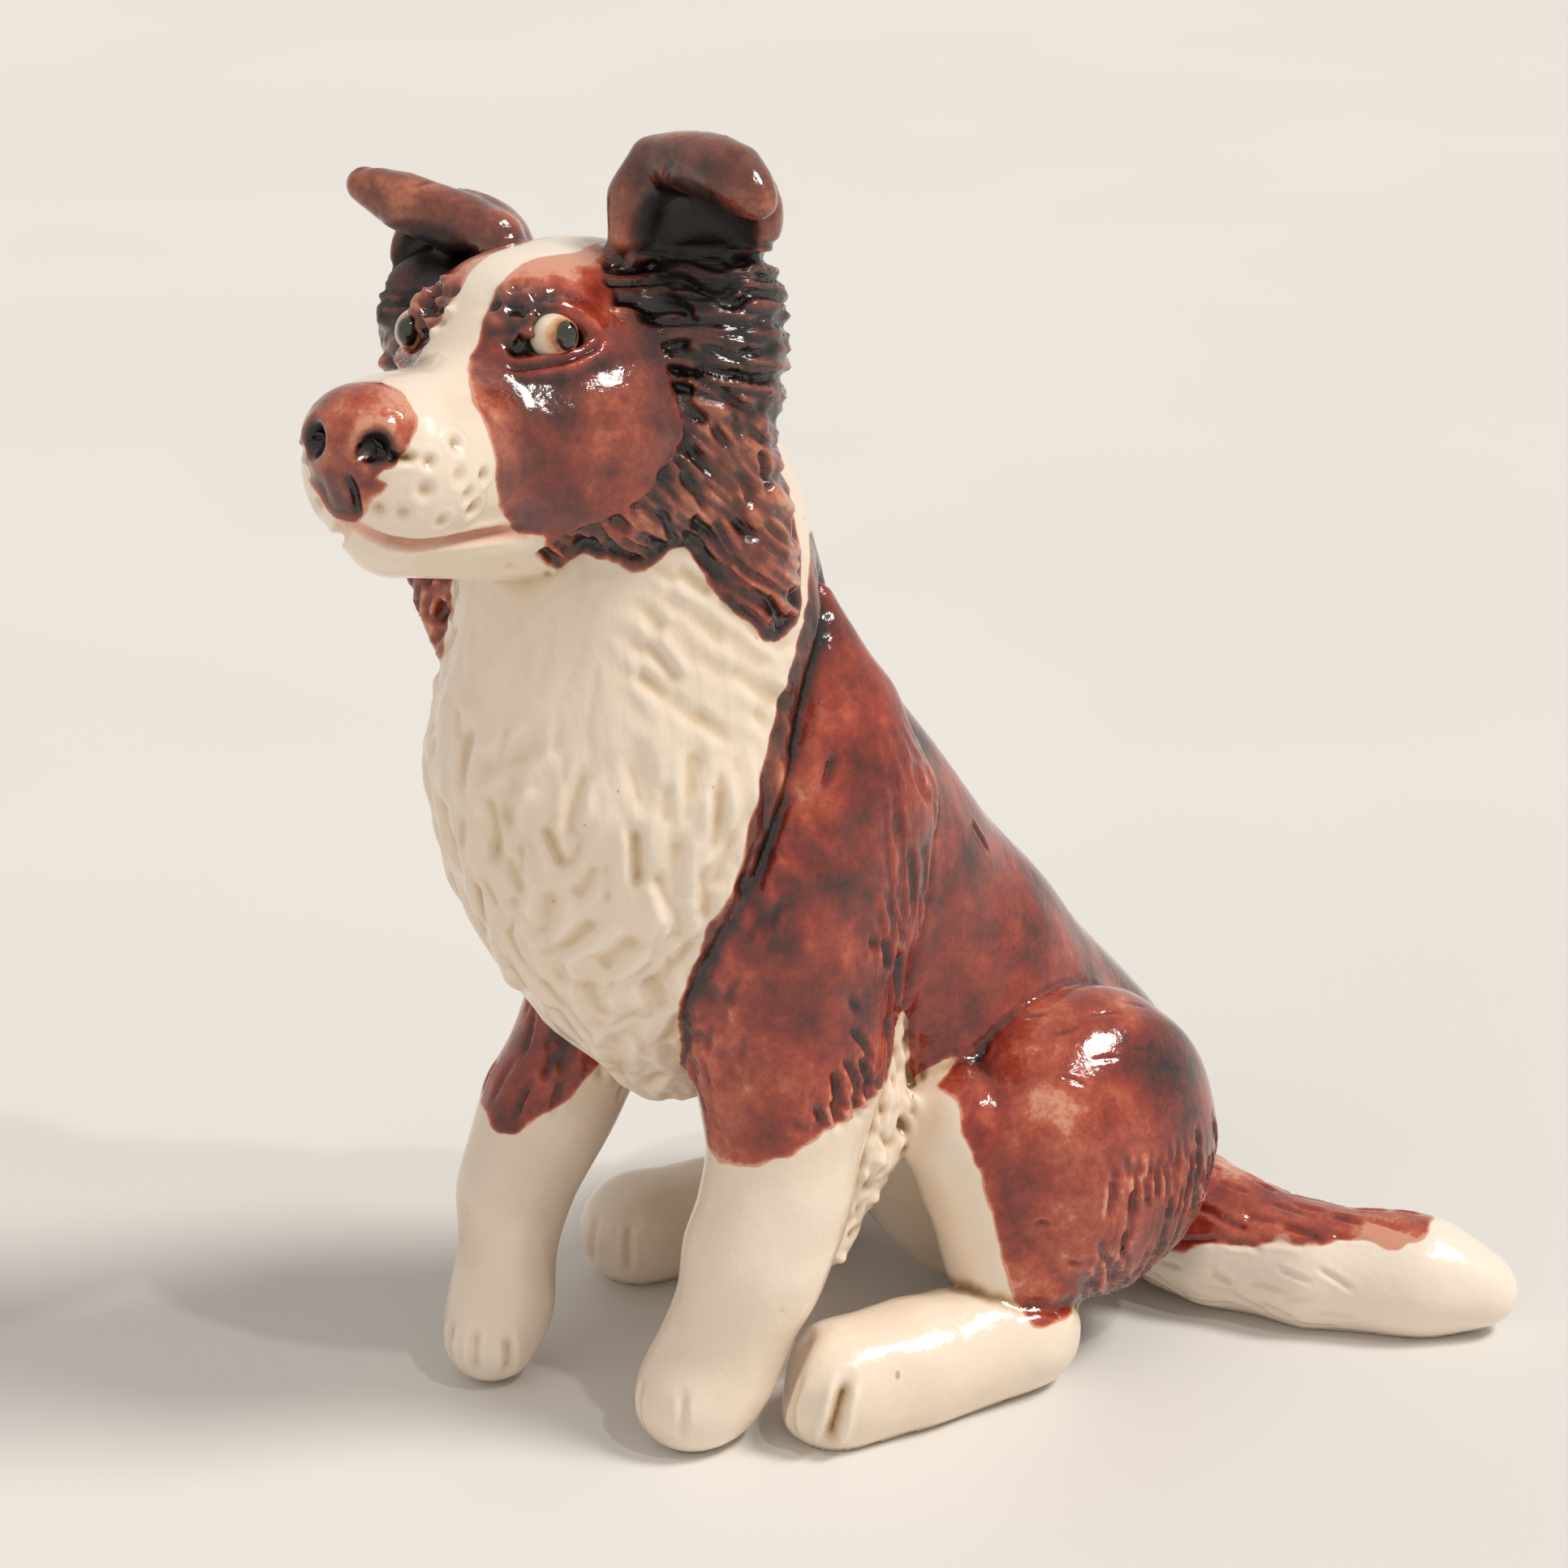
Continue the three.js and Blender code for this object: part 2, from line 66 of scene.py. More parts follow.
# The modelling frame: millimetres, x to the dog's left, y to its tail, z up from the table.
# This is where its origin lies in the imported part's frame.
FRAME_SHIFT = np.array([-7.748, -31.703, 0.0])
HEAD_PLACE = np.array([0.0, -1.5, 120.5])
HEAD_TURN = np.array(Euler((math.radians(-6), math.radians(-6), math.radians(22)), "XYZ").to_matrix())

# The clay pieces that were pressed together under one glaze
CLAY = [
    "trunk", "neck_and_chest", "head", "lower_jaw", "nose_pad", "tail",
    "left_ear", "right_ear", "left_mane", "right_mane",
    "left_foreleg", "right_foreleg", "left_elbow_feather", "right_elbow_feather",
    "left_haunch", "right_haunch", "left_shank", "right_shank", "left_hind_foot", "right_hind_foot",
    "left_upper_eyelid", "right_upper_eyelid", "left_lower_eyelid", "right_lower_eyelid",
]
INDEX = {name: i for i, name in enumerate(CLAY)}
SLOT_OF = {s["node"]: s["material_slot"] for s in frame["record"]["subparts"]}
SIDES = ("left", "right")
SIGN = {"left": 1, "right": -1}

SWELL = 0.35  # how far each copy of the clay is pressed out to meet its neighbours
SHRINK = 0.1  # how far the smoothed skin is drawn back again
PAW_GAP = 1.6  # between the left hind foot and the left foreleg
VOXEL = 0.36
MERGE_REACH = 0.004
TABLE_REACH = 0.3  # skin this near to the table lies on it
PATH_STEP = 0.6  # along a stroke of the tool


def deselect():
    bpy.ops.object.select_all(action="DESELECT")


def make_active(obj):
    deselect()
    obj.select_set(True)
    bpy.context.view_layer.objects.active = obj


def apply_modifier(obj, kind, **settings):
    make_active(obj)
    modifier = obj.modifiers.new(kind, kind)
    for key, value in settings.items():
        setattr(modifier, key, value)
    bpy.ops.object.modifier_apply(modifier=modifier.name)


def clay_copy(name, swell):
    """A merged copy of a CAD piece, pressed out by swell millimetres."""
    mesh = frame["nodes"][name].data.copy()
    obj = bpy.data.objects.new("clay_" + name, mesh)
    bpy.context.collection.objects.link(obj)
    bm = bmesh.new()
    bm.from_mesh(mesh)
    bmesh.ops.remove_doubles(bm, verts=bm.verts, dist=MERGE_REACH * MM)
    bm.normal_update()
    for vertex in bm.verts:
        vertex.co += vertex.normal * swell * MM
    bm.to_mesh(mesh)
    bm.free()
    mesh.materials.clear()
    return obj


def join(objects, name):
    deselect()
    for obj in objects:
        obj.select_set(True)
    bpy.context.view_layer.objects.active = objects[0]
    bpy.ops.object.join()
    objects[0].name = name
    return objects[0]


def keep_apart(obj, other, gap):
    """Draws one lump of clay back where it comes nearer than gap millimetres to another."""
    apply_modifier(obj, "SUBSURF", subdivision_type="SIMPLE", levels=2)
    other_tree = BVHTree.FromPolygons(
        [v.co for v in other.data.vertices], [p.vertices for p in other.data.polygons])
    for vertex in obj.data.vertices:
        place, facing_out, _, distance = other_tree.find_nearest(vertex.co)
        inside = (vertex.co - place).dot(facing_out) < 0
        if inside or distance < gap * MM:
            vertex.co = place + facing_out * gap * MM


# One skin over all the clay, with what the remesh left inside it taken out
clay_copies = {name: clay_copy(name, SWELL) for name in CLAY}
keep_apart(clay_copies["left_hind_foot"], clay_copies["left_foreleg"], PAW_GAP)
skin = join(list(clay_copies.values()), "skin")
apply_modifier(skin, "REMESH", mode="VOXEL", voxel_size=VOXEL * MM, adaptivity=0)
make_active(skin)
bpy.ops.mesh.separate(type="LOOSE")
shells = sorted(bpy.context.selected_objects, key=lambda obj: len(obj.data.vertices))
skin = shells.pop()
for shell in shells:
    bpy.data.objects.remove(shell)
mesh = skin.data
count = len(mesh.vertices)


def read(collection, attribute, width, kind=float):
    values = np.empty(len(collection) * width, dtype=kind)
    collection.foreach_get(attribute, values)
    return values.reshape(-1, width)


points = read(mesh.vertices, "co", 3) / MM - FRAME_SHIFT
ends_a, ends_b = read(mesh.edges, "vertices", 2, np.int64).T
quads = read(mesh.loops, "vertex_index", 1, np.int64).reshape(-1, 4)
degree = (np.bincount(ends_a, minlength=count) + np.bincount(ends_b, minlength=count)).astype(float)


def neighbour_mean(values):
    """The mean of each vertex's neighbours, for one value a vertex or several."""
    if values.ndim > 1:
        return np.stack([neighbour_mean(column) for column in values.T], 1)
    total = np.bincount(ends_a, values[ends_b], count) + np.bincount(ends_b, values[ends_a], count)
    return total / degree


def rounds_for(reach):
    """How many rounds of going halfway to the neighbours' mean spread a value over reach millimetres."""
    return 4 * (reach / VOXEL) ** 2


def blurred(values, reach):
    """Values spread over about reach millimetres of the surface."""
    for _ in range(max(1, round(rounds_for(reach)))):
        values = 0.5 * (values + neighbour_mean(values))
    return values


def normals_of(p):
    across = np.cross(p[quads[:, 2]] - p[quads[:, 0]], p[quads[:, 3]] - p[quads[:, 1]])
    total = np.zeros_like(p)
    for k in range(4):
        for axis in range(3):
            total[:, axis] += np.bincount(quads[:, k], across[:, axis], count)
    return total / np.maximum(np.linalg.norm(total, axis=1), 1e-9)[:, None]


def to_head(p):
    """Points in the head's own frame: x to its left, y to its back, z up, the origin between the ears."""
    return (p - HEAD_PLACE) @ HEAD_TURN


def from_head(p):
    return np.asarray(p) @ HEAD_TURN.T + HEAD_PLACE


def mirrored(p, side):
    """Places given for the left side, moved to either side."""
    p = np.array(p, dtype=float)
    p[..., 0] *= SIGN[side]
    return p


# Which CAD piece each vertex of the skin belongs to, with the borders smoothed a little
cad_corners, cad_triangles, triangle_piece = [], [], []
for index, name in enumerate(CLAY):
    node_mesh = frame["nodes"][name].data
    start = len(cad_corners)
    cad_corners += [tuple(v.co / MM) for v in node_mesh.vertices]
    for polygon in node_mesh.polygons:
        cad_triangles.append([start + v for v in polygon.vertices])
        triangle_piece.append(index)
cad_tree = BVHTree.FromPolygons(cad_corners, cad_triangles)
nearest = [cad_tree.find_nearest(Vector(p))[2] for p in points + FRAME_SHIFT]
piece_of = np.array(triangle_piece)[nearest]
shares = np.stack([blurred((piece_of == i).astype(float), 0.5) for i in range(len(CLAY))], 1)
piece_of = shares.argmax(1)


def piece(*names):
    """True where a vertex belongs to one of the named pieces."""
    return np.isin(piece_of, [INDEX[n] for n in names])


def both(name):
    return "left_" + name, "right_" + name


# Smoothing by wet finger, in millimetres: far on the body, little where the clay is thin or pressed in
SMOOTHING = {
    "trunk": 2.3, "neck_and_chest": 1.7, "head": 1.3, "lower_jaw": 1.0, "nose_pad": 0.6, "tail": 1.6,
    "ear": 0.8, "mane": 1.1, "foreleg": 2.0, "elbow_feather": 1.0, "haunch": 2.0, "shank": 1.6,
    "hind_foot": 1.5, "upper_eyelid": 0.3, "lower_eyelid": 0.3,
}
EYE_CENTRES = {side: mirrored([8.35, -9.85, 1.1], side) for side in SIDES}
NOSE_TIP = np.array([0, -33, -8])
FACE_REACH = 4  # round the eyes and the nose tip the skin is hardly smoothed at all
smoothing = shares @ np.array([SMOOTHING.get(n) or SMOOTHING[n.split("_", 1)[1]] for n in CLAY])
for centre in (*EYE_CENTRES.values(), NOSE_TIP):
    far = np.linalg.norm(to_head(points) - centre, axis=1)
    smoothing = np.minimum(smoothing, 0.3 + 0.25 * np.clip(far - FACE_REACH, 0, 9))
rounds = rounds_for(smoothing)
for i in range(int(rounds.max()) + 1):
    moving = np.clip(rounds - i, 0, 1)[:, None]
    points = points + 0.5 * moving * (neighbour_mean(points) - points)
normals = normals_of(points)
points = points - SHRINK * normals
points[points[:, 2] < TABLE_REACH, 2] = 0
head_points = to_head(points)
bx, by, bz = points.T
hx, hy, hz = head_points.T

# What the tools take away from the skin and push up beside it, in millimetres along the normal
groove = np.zeros(count)
ridge = np.zeros(count)
relief = np.zeros(count)
tree = KDTree(count)
for i, p in enumerate(points):
    tree.insert(p, i)
tree.balance()


def vertex_at(p):
    """The vertex of the skin nearest to a point."""
    return tree.find(Vector(p))[1]


def on_skin(p):
    return points[vertex_at(p)]


def around(centre, radius):
    return np.array([i for _, i, _ in tree.find_range(Vector(centre), radius)], dtype=np.int64)


def facing(index, place, least=0.15):
    """Those of some vertices that face the way the skin faces at a place."""
    return index[normals[index] @ normals[vertex_at(place)] > least]


def hump(value, middle, width):
    return np.exp(-(((value - middle) / width) ** 2))


def rising(value, start, width):
    """From 0 at the start to 1 a width further on."""
    return np.clip((value - start) / width, 0, 1)


def falling(value, end, width):
    """From 1 a width before the end to 0 at the end."""
    return np.clip((end - value) / width, 0, 1)


def carve(path, width, depth, lift=0.3, blunt=1.2):
    """A tool drawn along a path: a groove of half-width width, with the clay it moved beside it."""
    middle = path.mean(0)
    index = around(middle, np.linalg.norm(path - middle, axis=1).max() + 2.2 * width)
    index = facing(index, path[len(path) // 2])
    p = points[index]
    best = np.full(len(index), FAR)
    share = np.zeros(len(index))
    for k in range(len(path) - 1):
        a, along = path[k], path[k + 1] - path[k]
        t = np.clip((p - a) @ along / max(along @ along, 1e-9), 0, 1)
        d = np.linalg.norm(p - a - t[:, None] * along, axis=1)
        closer = d < best
        best = np.where(closer, d, best)
        share = np.where(closer, (k + t) / (len(path) - 1), share)
    strength = depth * np.clip(np.sin(np.pi * np.clip(share, 0.02, 0.98)) * 1.9, 0, 1)
    cut = strength * np.clip(1 - (best / width) ** 2, 0, 1) ** blunt
    groove[index] = np.maximum(groove[index], cut)
    ridge[index] = np.maximum(ridge[index], lift * strength * hump(best, 1.35 * width, 0.45 * width))


def pit(centre, radius, depth, lift=0.2):
    """A blunt point pressed in, with a low rim."""
    index = facing(around(centre, 2 * radius), centre)
    far = np.linalg.norm(points[index] - centre, axis=1) / radius
    groove[index] = np.maximum(groove[index], depth * np.clip(1 - far**2, 0, 1) ** 1.5)
    ridge[index] = np.maximum(ridge[index], lift * depth * hump(far, 1.3, 0.3))


def crumb(centre, radius, height):
    """A small lump of clay stuck on, or a soft dent where the height is negative."""
    index = facing(around(centre, radius), centre, -0.2)
    far = np.linalg.norm(points[index] - centre, axis=1) / radius
    relief[index] += height * np.clip(1 - far**2, 0, 1) ** 2


def trace(start, heading, length, wobble=0.25):
    """A path along the skin from a vertex, length millimetres along the field heading(p) with some wander."""
    p, normal = points[start], normals[start]
    bend = rng.uniform(-wobble, wobble)
    drift = rng.uniform(-wobble, wobble) / 3
    path = [p]
    for k in range(max(3, round(length / PATH_STEP))):
        along = heading(p)
        along = along - normal * (along @ normal)
        size = np.linalg.norm(along)
        if size < 0.15:  # the skin faces along the field
            break
        along = along / size
        turn = bend + drift * k / 3
        along = along * math.cos(turn) + np.cross(normal, along) * math.sin(turn)
        aim = p + PATH_STEP * along
        i = vertex_at(aim)
        normal = normals[i]
        p = aim - normal * ((aim - points[i]) @ normal)
        path.append(p)
    return np.array(path)


def seeds(mask, spacing):
    """Vertices of a region, about spacing millimetres apart, in an order without a pattern."""
    order = list(np.flatnonzero(mask))
    rng.shuffle(order)
    cells_near = list(itertools.product((-1, 0, 1), repeat=3))
    taken = {}
    chosen = []
    for i in order:
        p = points[i]
        x, y, z = np.floor(p / spacing).astype(int)
        near = [q for dx, dy, dz in cells_near for q in taken.get((x + dx, y + dy, z + dz), ())]
        if all(np.dot(p - q, p - q) >= spacing * spacing for q in near):
            taken.setdefault((x, y, z), []).append(p)
            chosen.append(i)
    return chosen


def hatch(mask, spacing, heading, length, width, depth, lift=0.3, wobble=0.25, share=1.0):
    """Strokes over a region. Length, width and depth are given as lowest and highest."""
    for start in seeds(mask, spacing):
        if rng.random() > share:
            continue
        path = trace(start, heading, rng.uniform(*length), wobble)
        if len(path) > 2:
            carve(path, rng.uniform(*width), rng.uniform(*depth), lift)


def scattered(a, b, c):
    """A repeatable random number from 0 to 1 for each set of three whole numbers."""
    h = a * 374761393 + b * 668265263 + c * 2147483647
    h = (h ^ (h >> 13)) * 1274126177 & 0xFFFFFFFF
    return ((h ^ (h >> 16)) & 0xFFFF) / 65535


def lattice_noise(p, size, seed):
    """Smooth noise from -1 to 1 with features of about size millimetres."""
    q = p / size + seed * 17.3
    base = np.floor(q).astype(np.int64)
    f = q - base
    f = f * f * (3 - 2 * f)
    total = np.zeros(len(p))
    for corner in itertools.product((0, 1), repeat=3):
        x_share, y_share, z_share = np.where(corner, f, 1 - f).T
        total += (2 * scattered(*(base + corner).T) - 1) * (x_share * y_share * z_share)
    return total


def comb(mask, across, along, pitch, length, width, depth, seed,
         missing=0.12, lift=0.25, fan=False, wave=0.45):
    """Rows of tool strokes laid side by side where mask, from 0 to 1, is above 0. across and along are
    places on the skin in millimetres, or an angle and a distance where the strokes fan out from a point.
    width is the groove's share of the pitch."""
    index = np.flatnonzero(mask > 0)
    across, along, strength = across[index], along[index], mask[index]
    uneven = lattice_noise(points[index], 5, seed)
    for layer in (0, 1):
        place = along / length + 0.5 * layer + 0.12 * uneven
        row = np.floor(place).astype(np.int64)
        share = place - row
        reach = np.maximum(row + 0.5 - 0.5 * layer, 0.5) * length if fan else 1
        strand_place = (across * reach + wave * uneven) / pitch + 7.31 * row + 0.37 * layer
        strand = np.floor(strand_place).astype(np.int64)
        chance = [scattered(strand, row, np.full_like(row, 10 * seed + 5 * layer + k)) for k in range(5)]
        off = strand_place - strand - 0.5 + 0.25 * (chance[0] - 0.5)
        off = off + 0.1 * np.sin(6.3 * (share + chance[1]))
        start, end = 0.3 * chance[1], 1 - 0.3 * chance[2]
        taper = np.clip(2.2 * np.sin(np.pi * np.clip((share - start) / (end - start), 0, 1)), 0, 1)
        cut = depth * strength * taper * (0.5 + 0.5 * chance[3]) * (chance[4] > missing)
        side = np.abs(2 * off) / width
        groove[index] = np.maximum(groove[index], cut * np.clip(1 - side**2, 0, 1) ** 0.8)
        ridge[index] = np.maximum(ridge[index], lift * cut * hump(side, 1.35, 0.35))


def border(first, second, reach):
    """How far each vertex lies from the seam between two sets of pieces, in millimetres, or FAR where that
    is well beyond reach."""
    in_first, in_second = piece(*first), piece(*second)
    crossing = (in_first[ends_a] & in_second[ends_b]) | (in_second[ends_a] & in_first[ends_b])
    seam = np.unique(np.concatenate([ends_a[crossing], ends_b[crossing]]))
    far = np.full(count, FAR)
    if not len(seam):
        return far
    seam_tree = KDTree(len(seam))
    for k, i in enumerate(seam):
        seam_tree.insert(points[i], k)
    seam_tree.balance()
    low, high = points[seam].min(0) - reach, points[seam].max(0) + reach
    for i in np.flatnonzero(((points > low) & (points < high)).all(1)):
        far[i] = seam_tree.find(points[i])[2]
    return far


def skin_path(stations):
    """A path of small steps on the skin through a few stations."""
    stations = np.array(stations, dtype=float)
    path = []
    for a, b in zip(stations[:-1], stations[1:]):
        steps = max(2, round(np.linalg.norm(b - a) / PATH_STEP))
        path += [on_skin(a + (b - a) * k / steps) for k in range(steps)]
    path.append(on_skin(stations[-1]))
    path = np.array(path)
    for _ in range(2):
        path[1:-1] = (path[:-2] + 2 * path[1:-1] + path[2:]) / 4
    return path


def face_path(stations, side="left"):
    """Such a path through stations in the head's frame, given for the left side."""
    return skin_path(from_head(mirrored(stations, side)))


def open_seam(far, depth, width, share=1):
    """A seam between slabs of clay that the maker left open."""
    np.maximum(groove, depth * hump(far, 0, width) * share, out=groove)


for side in SIDES:
    foreleg, haunch, shank, foot, feather = (
        (side + name,) for name in ("_foreleg", "_haunch", "_shank", "_hind_foot", "_elbow_feather"))
    slab_front = border(foreleg, ("neck_and_chest",), 3)
    open_seam(slab_front, 1.1, 0.6, rising(bz, 62, 6))
    open_seam(slab_front, 0.6, 0.5, rising(bz, 40, 5))
    open_seam(border(foreleg, ("trunk",), 3), 0.45, 0.5, falling(bz, 78, 10))
    open_seam(border(haunch, ("trunk",), 3), 0.35, 0.45)
    open_seam(border(haunch, shank + foot, 3), 0.1, 0.5)
    open_seam(border(shank, foot, 3), 0.75, 0.6)
    open_seam(border(feather, (*foreleg, "trunk"), 3), 0.4, 0.5)
open_seam(border(("tail",), ("trunk", "left_haunch"), 3), 0.5, 0.6)
seam_front = {side: border((side + "_foreleg",), ("neck_and_chest",), 8) for side in SIDES}
withers_seam = border(("neck_and_chest",), ("trunk",), 8)


# Headings of the hair, as fields
def ear_heading(side):
    def heading(p):
        down = np.clip((2 - to_head(p)[2]) / 22, 0, 1)
        back = 1 - down
        return HEAD_TURN @ np.array([0.15 * SIGN[side] * down, 0.25 + back, -(0.12 + 1.1 * down)])
    return heading


def chest_heading(p):
    return np.array([-0.02 * p[0], 0.1, -1])


def slab_heading(p):
    return np.array([0, -0.15 - 0.006 * (85 - p[2]), -1])


def tail_heading(p):
    return np.array([0.75, 0.55, -0.1])


# Fine strands for the glaze to follow: a place across and along the hair, and how strong it shows
strand_across = by.copy()
strand_along = bz.copy()
strand_share = np.zeros(count)

# Manes: deep slots pulled back from the cheek, level at the ear and steep at the tips.
# outward is measured to the side and a little back, as the mane's roll faces.
OUTWARD = np.array([0.839, 0.545])
HAIR_LINE = ([-21, -18, -16, -12.4, -9.6, -3.9, -0.2, 3.7, 9.2], [-4, 1.6, 7.3, 13.2, 14.6, 13.4, 12, 6.7, 4.7])
EAR_FOOT = {"left": 9.5, "right": 5.5}
FAN_CENTRE = (-26, 9.5)
STEEP = math.radians(50)


def mane_places(side):
    """How far each vertex lies to one side of the head, how far outward, and its place across and along the
    steep hair."""
    x = hx * SIGN[side]
    outward = OUTWARD[0] * x + OUTWARD[1] * hy
    slant = outward * math.sin(STEEP) + hz * math.cos(STEEP)
    slope = outward * math.cos(STEEP) - hz * math.sin(STEEP)
    return x, outward, slant, slope


hair_edge = 0.9 * lattice_noise(points, 2.2, 41)
hair = np.zeros(count)
for side in SIDES:
    x, outward, slant, slope = mane_places(side)
    behind = outward - np.interp(hz, *HAIR_LINE) + hair_edge
    own = piece("head", "lower_jaw", side + "_mane", side + "_ear") & (x > 3)
    grown = rising(behind, 0, 0.8) * own * falling(hz, EAR_FOOT[side], 1.5)
    grown = np.maximum(grown, piece(side + "_mane") * (hz < 0))
    grown = grown * rising(x, 3, 3)
    hair = np.maximum(hair, grown)
    dx, dz = outward - FAN_CENTRE[0], FAN_CENTRE[1] - hz
    angle, reach = np.arctan2(dz, dx), np.hypot(dx, dz)
    upper = grown * rising(hz, -8.5, 2)
    lower = grown * falling(hz, -5.5, 2)
    comb(upper, angle, reach, 1.35, 10, 0.72, 0.85, 51 + SIGN[side], missing=0.25, fan=True, wave=0.9)
    comb(upper, angle + 0.05, reach, 2.8, 7, 0.45, 1.5, 57 + SIGN[side], missing=0.4, fan=True, wave=1.0)
    comb(lower, slant, slope, 1.25, 7.5, 0.7, 0.8, 55 + SIGN[side], missing=0.25, wave=0.9)
    comb(lower, slant + 0.2 * slope, slope, 2.5, 6, 0.48, 1.4, 59 + SIGN[side], missing=0.4, wave=1.0)
    here = grown > 0
    level = rising(hz, -7, 4)
    strand_across[here] = (level * angle * 42 + (1 - level) * slant)[here]
    strand_along[here] = (level * reach + (1 - level) * slope)[here]
    strand_share = np.maximum(strand_share, grown)
    ear_skin = piece(side + "_ear") & (hz > EAR_FOOT[side])
    hatch(ear_skin, 4.0, ear_heading(side), (2, 4), (0.35, 0.5), (0.12, 0.3), 0.3, 0.6, 0.5)

# Neck and chest: long soft brush marks high up, short carved tufts lower down and at the sides
COLLAR_HEIGHT = 84
chest = piece("neck_and_chest")
tufts = chest & (bz < COLLAR_HEIGHT)
collar = chest & (bz >= COLLAR_HEIGHT)
hatch(collar, 3.4, chest_heading, (5, 12), (0.5, 0.9), (0.08, 0.18), 0.4, 0.25)
hatch(tufts, 4.6, chest_heading, (5, 11), (1.0, 1.7), (0.3, 0.6), 0.8, 0.5)
hatch(tufts, 5.0, chest_heading, (3, 6), (0.45, 0.7), (0.25, 0.5), 0.5, 0.5)
strand_share = np.where(chest & (strand_share == 0), 0.35, strand_share)
for start in seeds(tufts, 5.0):
    crumb(points[start], rng.uniform(2.2, 4.2), rng.uniform(-0.3, 0.6))
MANE_TIP = [16.5, 5, -31]
for side in SIDES:
    tip_far = np.linalg.norm(head_points - mirrored(MANE_TIP, side), axis=1)
    x, _, slant, slope = mane_places(side)
    below_tip = chest * falling(tip_far, 13, 4) * (x > 0)
    comb(below_tip, slant, slope, 2.8, 9, 0.8, 0.6, 71 + SIGN[side], lift=0.5)

# Shoulder slabs: fine strokes down the rear edge, deeper ones where it ends above the elbow
SLAB_REAR = ([38.6, 41, 48, 55.5, 61.3, 68.1, 73.3, 83.3], [20.3, 23.7, 27.6, 28.4, 32, 31.6, 33.8, 29.9])
SLAB_FRONT = {"left": 9, "right": 10}
for side in SIDES:
    leg = piece(side + "_foreleg")
    rear_edge = np.interp(bz, *SLAB_REAR)
    rear = leg * rising(by - rear_edge + 9.5, 0, 3) * rising(bz, 37, 2) * falling(bz, 80, 8)
    rear = rear * (bx * SIGN[side] > 6)
    strand_share = np.maximum(strand_share, rear)
    round_slab = 12 * np.arctan2(by - 18, bx * SIGN[side] - 7)
    comb(rear * rising(bz, 54, 4), round_slab + 0.1 * bz, bz, 1.4, 9, 0.6, 0.55, 61, missing=0.25, wave=0.8)
    comb(rear * falling(bz, 60, 3), round_slab + 0.3 * bz, bz, 1.8, 6.5, 0.6, 1.15, 63, missing=0.3, wave=0.8)
    slab_low = leg * rising(bz, 39, 2) * falling(bz, 56, 3) * (by < SLAB_FRONT[side])
    comb(slab_low, by - 0.2 * bz, bz, 2.2, 5, 0.5, 0.6, 65, missing=0.5, wave=0.8)
    front = leg & (seam_front[side] < 3) & (bz > 40) & (bz < 66)
    hatch(front, 2.6, slab_heading, (1.5, 4), (0.4, 0.6), (0.3, 0.6), 0.4, 0.3)

# Haunches: strokes low at the rear, a few scratches over the top
for side in SIDES:
    haunch = piece(side + "_haunch")
    low_rear = haunch * falling(bz, 29, 3) * rising(by, 47, 3)
    middle_x, middle_y, _ = points[haunch].mean(0)
    round_haunch = 14 * np.arctan2(by - middle_y, (bx - middle_x) * SIGN[side] + 6)
    comb(low_rear, round_haunch + 0.1 * bz, bz, 1.6, 7, 0.65, 0.9, 67, missing=0.25, lift=0.4, wave=0.8)
    strand_share = np.maximum(strand_share, low_rear)
    top = haunch & (bz > 36) & (by > 44) & (by < 58)
    hatch(top, 4.2, lambda p: np.array([0.2, 1, -0.45]), (2, 4.5), (0.25, 0.4), (0.12, 0.3), 0.4, 0.4)
far_slab = piece("right_foreleg") & (bz > 35) & (bz < 56) & (by < 16)
hatch(far_slab, 3.0, slab_heading, (3, 6), (0.4, 0.6), (0.5, 0.85), 0.3, 0.25, 0.7)
trunk_edge = piece("trunk") & (bz < 40) & (bz > 32) & (by < 42)
hatch(trunk_edge, 3.2, chest_heading, (2, 5), (0.4, 0.6), (0.3, 0.5), 0.4, 0.3)
tail = piece("tail")
hatch(tail & (bx < 34), 3.0, tail_heading, (3, 6), (0.4, 0.65), (0.25, 0.5), 0.5, 0.3)

# Elbow feathers: torn little lumps
for side in SIDES:
    feather = piece(side + "_elbow_feather")
    for start in seeds(feather, 2.0):
        crumb(points[start], rng.uniform(1.0, 1.8), rng.uniform(-0.8, 0.8))
    hatch(feather, 2.8, chest_heading, (2, 4), (0.4, 0.7), (0.3, 0.6), 0.5, 0.5)

# Face, in the head's frame: pits for the whiskers, the mouth, the folds under the eyes, the crumbled brow
WHISKER_PITS = [
    (8.1, -26.4, -7.2), (7.4, -29.3, -8.6), (8.5, -26.5, -10.2), (8.5, -22.8, -10.7), (7.6, -23.3, -13.7),
    (5.3, -30.7, -13.3), (7.1, -29.8, -11.3), (7.0, -27.2, -14.5), (7.9, -24.9, -12.2), (3.2, -31.6, -12.4),
]
MOUTH = [
    (0.3, -32.0, -13.9), (1.6, -31.3, -15.2), (3.0, -30.0, -16.0), (5.0, -26.5, -16.6), (5.6, -21.5, -16.9),
    (6.3, -17.5, -17.0), (6.9, -14.2, -17.2),
]
UNDER_EYE = [
    (5.6, -14.8, -1.0), (7.2, -14.2, -1.3), (8.7, -13.1, -1.2), (10.2, -11.4, -0.9), (11.4, -9.3, -0.3),
    (12.3, -6.9, 0.8),
]
BROW = [5.6, -11.6, 3.4]
NOSTRILS = {"left": (4.3, -33.1, -6.9), "right": (-2.3, -34.0, -6.3)}
NOSTRIL_SLIT = [(4.4, -33.0, -7.4), (5.5, -31.8, -8.1), (6.7, -30.2, -8.1)]
